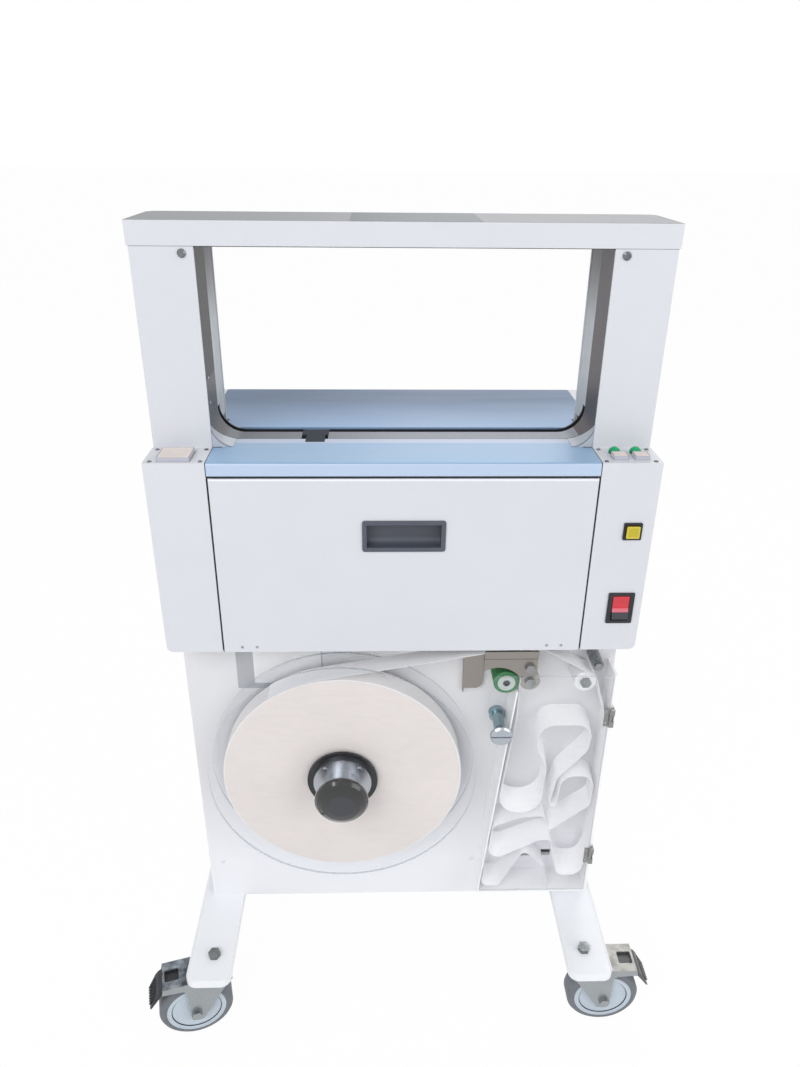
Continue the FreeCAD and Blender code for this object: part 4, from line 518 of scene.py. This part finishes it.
def roller_cover(name, centre, rings):
    """A roller seen from its end: rings holds outer radii with their colours, from the middle out."""
    shader = Shader(name, 0.42)
    radius = shader.radius(centre, (0, 1, 0))
    tone = shader.vary(rings[-1][1], 0.05, 25.0)
    for reach, colour in reversed(rings[:-1]):
        tone = shader.mix(shader.math("LESS_THAN", radius, reach * MM), tone, colour)
    shader.colour(tone)
    return shader.grain(200.0, 0.08, 0.06)


def capped(name, node, facing, face, border, side, width=0.8):
    """A key cap: one tone on its face, one on the border of the face and a darker one on its sides as painted
    shade.
    """
    low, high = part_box(node)
    shader = Shader(name, 0.24, Coat_Weight=0.4, Coat_Roughness=0.1)
    on_face = shader.math("GREATER_THAN", shader.math("ABSOLUTE", shader.facing(facing)), 0.9)
    at_edge = 0.0
    for index, axis in enumerate("XYZ"):
        if axis != facing:
            offset = shader.math("SUBTRACT", shader.place(axis), (low[index] + high[index]) / 2)
            inner = (high[index] - low[index]) / 2 - width * MM
            outside = shader.math("GREATER_THAN", shader.math("ABSOLUTE", offset), inner)
            at_edge = shader.either(at_edge, outside)
    top = shader.mix(at_edge, shader.vary(face, 0.03, 60.0), border)
    shader.colour(shader.mix(on_face, side, top))
    return shader.grain(500.0, 0.04, 0.05)


def lamp_dome():
    """Green domes, with painted shade at the foot and a painted highlight on top."""
    shader = Shader("lamp_green", 0.15, Coat_Weight=0.25, Coat_Roughness=0.04, Specular_IOR_Level=0.25)
    tone = shader.mix(shader.ramp("Z", POD_TOP, LAMP_HIGHLIGHT_TOP), srgb(0, 84, 54), srgb(0, 176, 112))
    shader.colour(shader.mix(shader.spread(shader.noise(160.0), 0.0, 0.3), tone, srgb(0, 110, 72)))
    return shader.grain(300.0, 0.04, 0.05)


def rocker_paint():
    """The rocker: glossy red above, a paler step, and shaded below its bend."""
    shader = Shader("rocker_red", 0.2, Coat_Weight=0.6, Coat_Roughness=0.05)
    step = shader.between("Z", ROCKER_BEND, ROCKER_BEND + ROCKER_STEP)
    red = shader.mix(step, shader.vary(srgb(206, 24, 44), 0.1, 90.0), srgb(218, 104, 120))
    shader.colour(shader.mix(shader.past("Z", ROCKER_BEND), srgb(44, 46, 53), red))
    return shader.grain(300.0, 0.04, 0.05)


def wound_paper():
    """The side of the roll: fine rings of wound tape, with a slightly uneven tone."""
    shader = Shader("wound_paper", 0.75)
    radius = shader.radius(REEL_CENTRE, (0, 1, 0))
    turns = shader.rings(radius, 900.0, 4.0)
    outer = shader.math("GREATER_THAN", radius, ROLL_OUTER_TURNS * MM)
    blotches = shader.mix(outer, shader.vary(srgb(234, 226, 222), 0.025, 9.0), srgb(240, 240, 241))
    shader.colour(shader.mix(shader.spread(turns, 0.0, 0.35), blotches, srgb(216, 206, 200)))
    return shader.bump(turns, 0.2, 0.15)


def paper(name, colour, painted_glow=0.07):
    """Thin white paper with faint fibres, and a faint emission that paints in light as if it shone through
    the paper.
    """
    shader = Shader(name, 0.7, Emission_Strength=painted_glow)
    fibres = shader.noise(500.0, 4.0, shader.stretched((1.0, 0.25, 1.0)))
    tone = shader.mix(shader.spread(fibres, 0.0, 1.0), tuple(c * 0.97 for c in colour), colour)
    shader.colour(tone)
    shader.link(tone, shader.bsdf.inputs["Emission Color"])
    return shader.bump(fibres, 0.06, 0.05)


def reel_hub_metal():
    """Bright turned steel in front of the black clamp flange."""
    shader = Shader("reel_hub_metal", 0.3)
    front = shader.before("Y", CLAMP_FRONT)
    turned = shader.rings(shader.radius(REEL_CENTRE, (0, 1, 0)), 2500.0)
    steel = shader.mix(turned, srgb(150, 154, 160), srgb(205, 208, 214))
    shader.colour(shader.mix(front, shader.vary(srgb(38, 38, 42), 0.1, 40.0), steel))
    shader.link(shader.math("MULTIPLY", front, 0.95), shader.bsdf.inputs["Metallic"])
    return shader.bump(turned, 0.08, 0.05)


def caster_wheel(name, node):
    """A soft grey tyre round a pale moulded disc, with painted shade in its groove."""
    low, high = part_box(node)
    shader = Shader(name, 0.55)
    radius = shader.radius((low + high) / 2, joint_on(node.replace("_wheel", "_roll"))["axis"])
    tyre = shader.math("GREATER_THAN", radius, TYRE_INNER * MM)
    groove_shade = shader.both(shader.math("GREATER_THAN", radius, WHEEL_GROOVE_SHADE[0] * MM),
                         shader.math("LESS_THAN", radius, WHEEL_GROOVE_SHADE[1] * MM))
    rubber = shader.vary(srgb(112, 116, 122), 0.06, 30.0)
    disc = shader.mix(groove_shade, shader.vary(srgb(192, 204, 214), 0.04, 30.0), srgb(92, 98, 108))
    shader.colour(shader.mix(tyre, disc, rubber))
    shader.link(shader.math("ADD", shader.math("MULTIPLY", tyre, 0.2), 0.42), shader.bsdf.inputs["Roughness"])
    return shader.grain(600.0, 0.12, 0.06)


# ---------------------------------------------------------------- finishes

WHITE = powder_coat("white_powder", PAINT)
ARCH = arch_paint()
ZINC = zinc("zinc_plate", srgb(166, 172, 178))
HINGE = zinc("hinge_zinc", srgb(150, 150, 148))
# the forks are one part; their tops carry a painted reflection, dark on the front left fork and pale on the
# others
FORK_DARK_REFLECTION = fork_zinc("fork_dark_reflection_zinc", srgb(66, 72, 80), srgb(150, 156, 164))
FORK_PALE_REFLECTION = fork_zinc("fork_pale_reflection_zinc", srgb(132, 131, 129), srgb(160, 158, 154))
CHROME = brushed("chrome", srgb(214, 220, 230), 0.14, (1, 8, 8))
STAINLESS = brushed("stainless", srgb(172, 168, 165))
BLACK = moulded("black_moulding", srgb(34, 36, 42), 0.5)
# black strips that stand for the shade in the gaps round the drop panel
GAP_SHADE = moulded("gap_shade_black", srgb(22, 23, 27), 0.6)

# key caps: the tones of the face, of its border and of the sides, which are darker as painted shade
KEY_TONES = (srgb(230, 217, 208), srgb(128, 128, 138), srgb(190, 190, 202))
YELLOW_TONES = (srgb(190, 172, 8), srgb(208, 190, 48), srgb(110, 92, 12))

# the feed roller's end, from the middle out: the radii and colours of its screw, its hub and its tread
FEED_RINGS = [(4.5, srgb(70, 74, 80)), (11, srgb(186, 196, 190)), (20, srgb(52, 122, 72))]

FINISHES = {
    "pedestal_cover": WHITE,
    "rear_housing": WHITE,
    "pod_left": WHITE,
    "pod_right": WHITE,
    "column_left": ARCH,
    "column_right": ARCH,
    "beam_cover": beam_paint(),
    "main_plate": plate_paint(),
    "drop_panel": panel_paint(),
    # the feet's white is brighter than the other paint, as painted light against their shade
    "feet": powder_coat("foot_powder_painted_light", srgb(243, 245, 248)),
    "tape_box": powder_coat("box_powder", srgb(250, 250, 251), 0.4),
    "front_table": film("table_film", srgb(145, 176, 207), 0.46, edges=True),
    "rear_table": film("rear_film", srgb(128, 160, 196), 0.42, back=srgb(60, 92, 128)),
    "guide_band": lining_steel(),
    "track_flaps": flap_moulding(),
    "tape_track": BLACK,
    "sealing_head": slate_block(),
    "panel_handle": moulded("dark_moulding", srgb(80, 84, 95), 0.4),
    "panel_leaves": ZINC,
    "hinge_brackets": ZINC,
    "cover_screws": screw_zinc(),
    "caster_bolts": zinc("bolt_zinc", srgb(122, 126, 126), 0.3, 0.2),
    "start_button": capped("start_cap", "start_button", "Z", *KEY_TONES),
    "left_key": capped("left_key_cap", "left_key", "Z", *KEY_TONES),
    "right_key": capped("right_key_cap", "right_key", "Z", *KEY_TONES),
    "yellow_button": capped("yellow_cap", "yellow_button", "Y", *YELLOW_TONES, width=2.0),
    "power_rocker": rocker_paint(),
    "switch_frames": BLACK,
    "signal_lamps": lamp_dome(),
    "mains_inlet": BLACK,
    "control_board": circuit_board(),
    "gear_motors": moulded("motor_paint", srgb(96, 100, 106), 0.4),
    "cam_gear": brushed("gear_steel", srgb(150, 150, 154)),
    "motor_pinion": brushed("pinion_steel", srgb(150, 150, 154)),
    "tape_roll": wound_paper(),
    "tape_loops": paper("paper_tape", srgb(238, 238, 240)),
    "reel_discs": acrylic("clear_sheet", srgb(205, 216, 230)),
    "reel_hub": reel_hub_metal(),
    "reel_knob": knob_moulding(),
    "reel_spindle": STAINLESS,
    "roller_bracket": brushed("bracket_steel", srgb(156, 151, 146), 0.35, (1, 30, 30)),
    "roller_axles": zinc("axle_zinc", srgb(150, 153, 154), 0.26, 0.2),
    "feed_roller": roller_cover("green_urethane", FEED_CENTRE, FEED_RINGS),
    "pinch_roller": STAINLESS,
    "guide_roller": moulded("white_roller", srgb(236, 236, 238), 0.35),
    "box_door": acrylic("door_sheet", srgb(222, 228, 236), 0.03, 0.3, 0.8),
    "door_leaves": HINGE,
    "door_hinges": HINGE,
    "door_post": brushed("post_chrome", srgb(140, 164, 172), 0.12, (1, 8, 8)),
    "thumb_screw": brushed("bright_screw", srgb(186, 192, 200), 0.2, (1, 8, 8)),
    "front_left_pedal": BLACK,
    # the right pedal is the same part as the left; its grey is a painted reflection
    "front_right_pedal": moulded("pedal_painted_reflection", srgb(84, 85, 86), 0.3),
}
for corner in ("front_left", "front_right", "rear_left", "rear_right"):
    FINISHES[f"{corner}_fork"] = FORK_DARK_REFLECTION if corner == "front_left" else FORK_PALE_REFLECTION
    FINISHES[f"{corner}_wheel"] = caster_wheel(f"{corner}_tyre", f"{corner}_wheel")

for node, finish in FINISHES.items():
    for material_slot in NODES[node].material_slots:
        material_slot.material = finish


# ---------------------------------------------------------------- small pieces

def new_piece(name, mesh, body, finish):
    """A finished mesh that rides on a body."""
    data = bpy.data.meshes.new(name)
    mesh.to_mesh(data)
    mesh.free()
    data.materials.append(finish)
    piece = bpy.data.objects.new(name, data)
    bpy.context.scene.collection.objects.link(piece)
    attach(piece, body)


# a pan head's side as shares of its radius and rise, from its foot to its crown
HEAD_PROFILE = ((1.0, 0.0), (1.0, 0.45), (0.9, 0.75), (0.65, 1.0))
HEAD_SEGMENTS = 24
# its cross recess: an arm's length and half width by the radius, and its depth by the rise
RECESS_ARM, RECESS_WIDTH, RECESS_DEPTH = 0.5, 0.13, 0.4


def bridge(mesh, near, far):
    """Faces between two closed loops of the same length."""
    for k in range(len(near)):
        after = (k + 1) % len(near)
        mesh.faces.new((near[k], near[after], far[after], far[k]))


def loop_edges(mesh, loop):
    """The edges along a closed loop."""
    return [mesh.edges.get((loop[k - 1], loop[k])) for k in range(len(loop))]


def add_screw(mesh, centre, direction, radius, rise):
    """A pan head with a cross recess, its back on a face and its crown along a direction."""
    aim = Vector((0, 0, 1)).rotation_difference(Vector(direction)).to_matrix().to_4x4()
    place = Matrix.Translation(Vector(centre) * MM) @ aim @ Matrix.Scale(MM, 4)
    turns = [2 * math.pi * k / HEAD_SEGMENTS for k in range(HEAD_SEGMENTS)]
    circle = [(radius * math.cos(turn), radius * math.sin(turn)) for turn in turns]
    rings = [[mesh.verts.new(place @ Vector((share * x, share * y, rise * height))) for x, y in circle]
             for share, height in HEAD_PROFILE]
    arm, width = radius * RECESS_ARM, radius * RECESS_WIDTH
    cross = [(arm, width), (width, width), (width, arm), (-width, arm), (-width, width), (-arm, width),
             (-arm, -width), (-width, -width), (-width, -arm), (width, -arm), (width, -width), (arm, -width)]
    lip, floor = ([mesh.verts.new(place @ Vector((x, y, height))) for x, y in cross]
                  for height in (rise, rise * (1 - RECESS_DEPTH)))
    for near, far in zip(rings, rings[1:]):
        bridge(mesh, near, far)
    bridge(mesh, floor, lip)
    mesh.faces.new(floor)
    mesh.faces.new(rings[0][::-1])
    bmesh.ops.triangle_fill(mesh, use_beauty=True, edges=loop_edges(mesh, rings[-1]) + loop_edges(mesh, lip))


def screws(name, body, centres, direction, radius, rise, finish=ZINC):
    """A set of small screws on one body."""
    mesh = bmesh.new()
    for centre in centres:
        add_screw(mesh, centre, direction, radius, rise)
    bmesh.ops.recalc_face_normals(mesh, faces=mesh.faces)
    new_piece(name, mesh, body, finish)


def slab(name, blocks, body, finish, soften=0.1):
    """Small blocks with softened edges; each block is its low and its high corner."""
    mesh = bmesh.new()
    for low, high in blocks:
        for vertex in bmesh.ops.create_cube(mesh, size=1.0)["verts"]:
            vertex.co = Vector([(start + end) / 2 + side * (end - start)
                                for start, end, side in zip(low, high, vertex.co)]) * MM
    bmesh.ops.bevel(mesh, geom=list(mesh.edges), offset=soften * MM, segments=2, affect="EDGES")
    new_piece(name, mesh, body, finish)


def front_sheet(across, heights, face, thickness):
    """A block that lies on a face that looks front."""
    return (across[0], face - thickness, heights[0]), (across[1], face, heights[1])


def prisms(name, faces, body, finish):
    """Closed solids, each between a near and a far face that are given as lists of points."""
    mesh = bmesh.new()
    for pair in faces:
        near, far = ([mesh.verts.new(Vector(point) * MM) for point in face] for face in pair)
        mesh.faces.new(near)
        mesh.faces.new(far[::-1])
        bridge(mesh, near, far)
    bmesh.ops.recalc_face_normals(mesh, faces=mesh.faces)
    new_piece(name, mesh, body, finish)


def arc(radius, start, end, steps):
    """Points round the origin, with both ends; angles are in radians from the first axis."""
    turns = [start + (end - start) * k / steps for k in range(steps + 1)]
    return [(radius * math.cos(turn), radius * math.sin(turn)) for turn in turns]


# the table's rear notches are closed below the guide band's wide curves
BAND_CURVE = 32.0
CURVE_OVERLAP = 0.2
NOTCH_GAP = 0.05
FILLER_STEPS = 12
FILLER_FRONT = BAND_LOW[Y] - 1.2
FILLER_BACK = FILLER_FRONT + 0.6


def corner_fillers():
    """Thin plates from the columns and the table up to the band's lower curves."""
    centre_x, centre_z = BAND_HIGH[X] - BAND_CURVE, BAND_LOW[Z] + BAND_CURVE
    edge_x, foot_z = COLUMN_INSIDE - NOTCH_GAP, TABLE_HIGH[Z] + NOTCH_GAP
    reach = BAND_CURVE + CURVE_OVERLAP
    lowest = math.asin((foot_z - centre_z) / reach)
    highest = -math.acos((edge_x - centre_x) / reach)
    curve = [(centre_x + x, centre_z + z) for x, z in arc(reach, lowest, highest, FILLER_STEPS)]
    outline = [(edge_x, foot_z), *curve]
    faces = [[[(side * x, y, z) for x, z in outline] for y in (FILLER_FRONT, FILLER_BACK)]
             for side in (-1, 1)]
    prisms("corner_fillers", faces, "frame", moulded("filler_paint", srgb(186, 192, 200), 0.5))


# the beam cover is open where its square hollow meets its two rounded rear corners
BEAM_CORNER = 12.0
BEAM_SHEET = 2.0
BEAM_GAP = 0.05
STRIP_DEPTH = 1.45
STRIP_DEGREES = (33.6, 56.4)
STRIP_STEPS = 8
STRIP_HEIGHTS = (BEAM_LOW[Z] + 0.2, BEAM_HIGH[Z] - 2.1)


def beam_corner_strips():
    """Curved strips that close the beam cover's two rounded rear corners."""
    centre_x, centre_y = BEAM_HIGH[X] - BEAM_CORNER, BEAM_HIGH[Y] - BEAM_CORNER
    outer = BEAM_CORNER - BEAM_SHEET - BEAM_GAP
    inner = outer - STRIP_DEPTH
    turns = [math.radians(turn) for turn in STRIP_DEGREES]
    bend = arc(BEAM_CORNER - BEAM_GAP, *turns, STRIP_STEPS)
    outline = [(outer, 0), *bend, (0, outer), (0, inner), (inner, 0)]
    faces = [[[(side * (centre_x + x), centre_y + y, z) for x, y in outline] for z in STRIP_HEIGHTS]
             for side in (-1, 1)]
    prisms("beam_corner_strips", faces, "frame", powder_coat("corner_powder", PAINT))


# dark strips as painted shade: in the gaps beside the drop panel, and one between it and the table
GAP_SHADE_HALF = 0.6
GAP_SHADE_X = (PANEL_HIGH[X] + COLUMN_INSIDE) / 2
SIDE_SHADE_DEPTHS = (PANEL_FRONT + 1.0, PANEL_FRONT + 10.0)
SIDE_SHADE_HEIGHTS = (PANEL_LOW[Z] + 2.5, PANEL_HIGH[Z] - 0.1)
TOP_SHADE_REACH = PANEL_HIGH[X] - 1.5
TOP_SHADE_DEPTHS = (PANEL_FRONT + 1.4, PANEL_FRONT + 8.0)
TOP_SHADE_HEIGHTS = (PANEL_HIGH[Z] + 0.7, TABLE_LOW[Z] - 0.1)


def panel_gap_shades():
    """Dark strips round the drop panel, as painted shade in its gaps."""
    (front, back), (foot, top) = SIDE_SHADE_DEPTHS, SIDE_SHADE_HEIGHTS
    blocks = [((side * GAP_SHADE_X - GAP_SHADE_HALF, front, foot), (side * GAP_SHADE_X + GAP_SHADE_HALF, back, top))
              for side in (-1, 1)]
    blocks.append(tuple(zip((-TOP_SHADE_REACH, TOP_SHADE_REACH), TOP_SHADE_DEPTHS, TOP_SHADE_HEIGHTS)))
    slab("panel_gap_shades", blocks, "frame", GAP_SHADE)


# the bare label on the main plate and the blank sticker over it; both run up behind the drop panel
LABEL_ACROSS = (-208.6, -99.8)
LABEL_HEIGHTS = (505.0, POD_FOOT)
LABEL_THICK = 0.25
STICKER_ACROSS = (-187.0, -101.5)
STICKER_HEIGHTS = (513.0, POD_FOOT)
STICKER_THICK = 0.15


def labels():
    """A grey label and a white sticker, both blank."""
    label = front_sheet(LABEL_ACROSS, LABEL_HEIGHTS, PLATE_FRONT, LABEL_THICK)
    slab("plate_label", [label], "frame",
         moulded("bare_label", srgb(178, 180, 184), 0.4, 300.0, 0.04), 0.08)
    sticker = front_sheet(STICKER_ACROSS, STICKER_HEIGHTS, PLATE_FRONT - LABEL_THICK, STICKER_THICK)
    slab("blank_sticker", [sticker], "frame",
         moulded("sticker_film", srgb(236, 236, 238), 0.35, 300.0, 0.03), 0.05)


# small screws: the radius and rise of their heads, and where they sit
SHEET_HEAD = (1.7, 0.6)
PANEL_HEAD = (1.8, 0.7)
BAND_SCREW_X = BAND_LOW[X] + 1.6
BAND_SCREW_Y = -56.0
BAND_SCREW_HEIGHTS = (905, 877)
LEAF_SCREW_X = LEAF_LOW[X] + 2.8
LEAF_FRONT = LEAF_HIGH[Y] - 1.2
LEAF_HALF_HEIGHT = 13.5
LEAF_SCREW_OFFSET = 8.5
PANEL_SCREWS_ACROSS = (173, 190.5)
PANEL_SCREW_Z = PANEL_LOW[Z] + 7.0
FORWARD = (0, -1, 0)
RIGHTWARD = (1, 0, 0)

corner_fillers()
beam_corner_strips()
screws("band_screws", "frame", [(BAND_SCREW_X, BAND_SCREW_Y, z) for z in BAND_SCREW_HEIGHTS],
       RIGHTWARD, *SHEET_HEAD, CHROME)
panel_gap_shades()
labels()
screws("leaf_screws", "door",
       [(LEAF_SCREW_X, LEAF_FRONT, middle + offset)
        for middle in (LEAF_LOW[Z] + LEAF_HALF_HEIGHT, LEAF_HIGH[Z] - LEAF_HALF_HEIGHT)
        for offset in (-LEAF_SCREW_OFFSET, LEAF_SCREW_OFFSET)],
       FORWARD, *SHEET_HEAD)
screws("panel_screws", "panel",
       [(side * x, PANEL_FRONT, PANEL_SCREW_Z) for side in (-1, 1) for x in PANEL_SCREWS_ACROSS],
       FORWARD, *PANEL_HEAD)


# ---------------------------------------------------------------- camera, floor and light

# in metres: the floor, and each soft lamp's place, the point it faces and its width; then its watts
FLOOR_REACH = 30.0
LAMPS = {
    "key": ((-1.6, -2.6, 2.9), (0, 0, 0.6), 2.0, 52),
    "fill": ((2.4, -1.8, 1.8), (0, 0, 0.6), 2.2, 24),
    "back": ((0.6, 2.2, 2.6), (0, 0, 0.7), 1.6, 18),
}
SKY_STRENGTH = 0.6
# how much of the floor's own shade its white hides
FLOOR_WHITE = 0.97


def add_camera():
    """The photograph's own viewpoint."""
    yaw, pitch, roll = (math.radians(angle) for angle in (CAMERA_YAW, -CAMERA_PITCH, CAMERA_ROLL))
    forward = Vector((-math.sin(yaw) * math.cos(pitch), math.cos(yaw) * math.cos(pitch), -math.sin(pitch)))
    level = Vector((math.cos(yaw), math.sin(yaw), 0))
    above = level.cross(forward)
    right = level * math.cos(roll) + above * math.sin(roll)
    up = above * math.cos(roll) - level * math.sin(roll)
    data = bpy.data.cameras.new("photo_camera")
    data.sensor_fit = "VERTICAL"
    data.sensor_height = SENSOR_HEIGHT
    data.lens = CAMERA_LENS
    data.clip_end = 100
    camera = bpy.data.objects.new("photo_camera", data)
    camera.matrix_world = (Matrix.Translation(Vector(CAMERA_AT) * MM)
                           @ Matrix((right, up, -forward)).transposed().to_4x4())
    bpy.context.scene.collection.objects.link(camera)
    bpy.context.scene.camera = camera


def show_white(tree, surface, white_kind, output_kind, share=1.0):
    """Mixes plain white over a surface, for the camera and for what mirrors or clear sheet show of it."""
    rays = tree.nodes.new("ShaderNodeLightPath").outputs
    mirrored = maths(tree, "MAXIMUM", rays["Is Glossy Ray"], rays["Is Transmission Ray"])
    seen = maths(tree, "MAXIMUM", rays["Is Camera Ray"], mirrored)
    white = tree.nodes.new(white_kind)
    white.inputs["Color"].default_value = (1, 1, 1, 1)
    white.inputs["Strength"].default_value = 1.0
    mix = tree.nodes.new("ShaderNodeMixShader")
    for socket, source in zip(mix.inputs, (maths(tree, "MULTIPLY", seen, share), surface, white.outputs[0])):
        tree.links.new(source, socket)
    output = next(item for item in tree.nodes if item.type == output_kind)
    tree.links.new(mix.outputs[0], output.inputs["Surface"])


def add_floor():
    """A wide pale floor that keeps a faint shadow."""
    material = bpy.data.materials.new("pale_floor")
    material.use_nodes = True
    tree = material.node_tree
    shader = tree.nodes["Principled BSDF"]
    shader.inputs["Base Color"].default_value = (0.92, 0.92, 0.93, 1)
    shader.inputs["Roughness"].default_value = 0.9
    show_white(tree, shader.outputs[0], "ShaderNodeEmission", "OUTPUT_MATERIAL", FLOOR_WHITE)
    mesh = bpy.data.meshes.new("floor")
    corners = [(x * FLOOR_REACH, y * FLOOR_REACH, 0) for x, y in ((-1, -1), (1, -1), (1, 1), (-1, 1))]
    mesh.from_pydata(corners, [], [(0, 1, 2, 3)])
    mesh.materials.append(material)
    floor = bpy.data.objects.new("floor", mesh)
    bpy.context.scene.collection.objects.link(floor)


def add_light(name, at, target, size, energy):
    """A soft square lamp that points at a target."""
    data = bpy.data.lights.new(name, "AREA")
    data.shape = "SQUARE"
    data.size = size
    data.energy = energy
    lamp = bpy.data.objects.new(name, data)
    lamp.location = at
    lamp.rotation_euler = (Vector(target) - Vector(at)).to_track_quat("-Z", "Y").to_euler()
    bpy.context.scene.collection.objects.link(lamp)


def add_world():
    """Even sky light, white where it is seen."""
    world = bpy.data.worlds.new("studio")
    world.use_nodes = True
    bpy.context.scene.world = world
    sky = world.node_tree.nodes["Background"]
    sky.inputs["Color"].default_value = (0.97, 0.98, 1.0, 1)
    sky.inputs["Strength"].default_value = SKY_STRENGTH
    show_white(world.node_tree, sky.outputs[0], "ShaderNodeBackground", "OUTPUT_WORLD")


bpy.context.scene.view_settings.view_transform = "Standard"
add_camera()
add_floor()
add_world()
for name, lamp in LAMPS.items():
    add_light(name, *lamp)
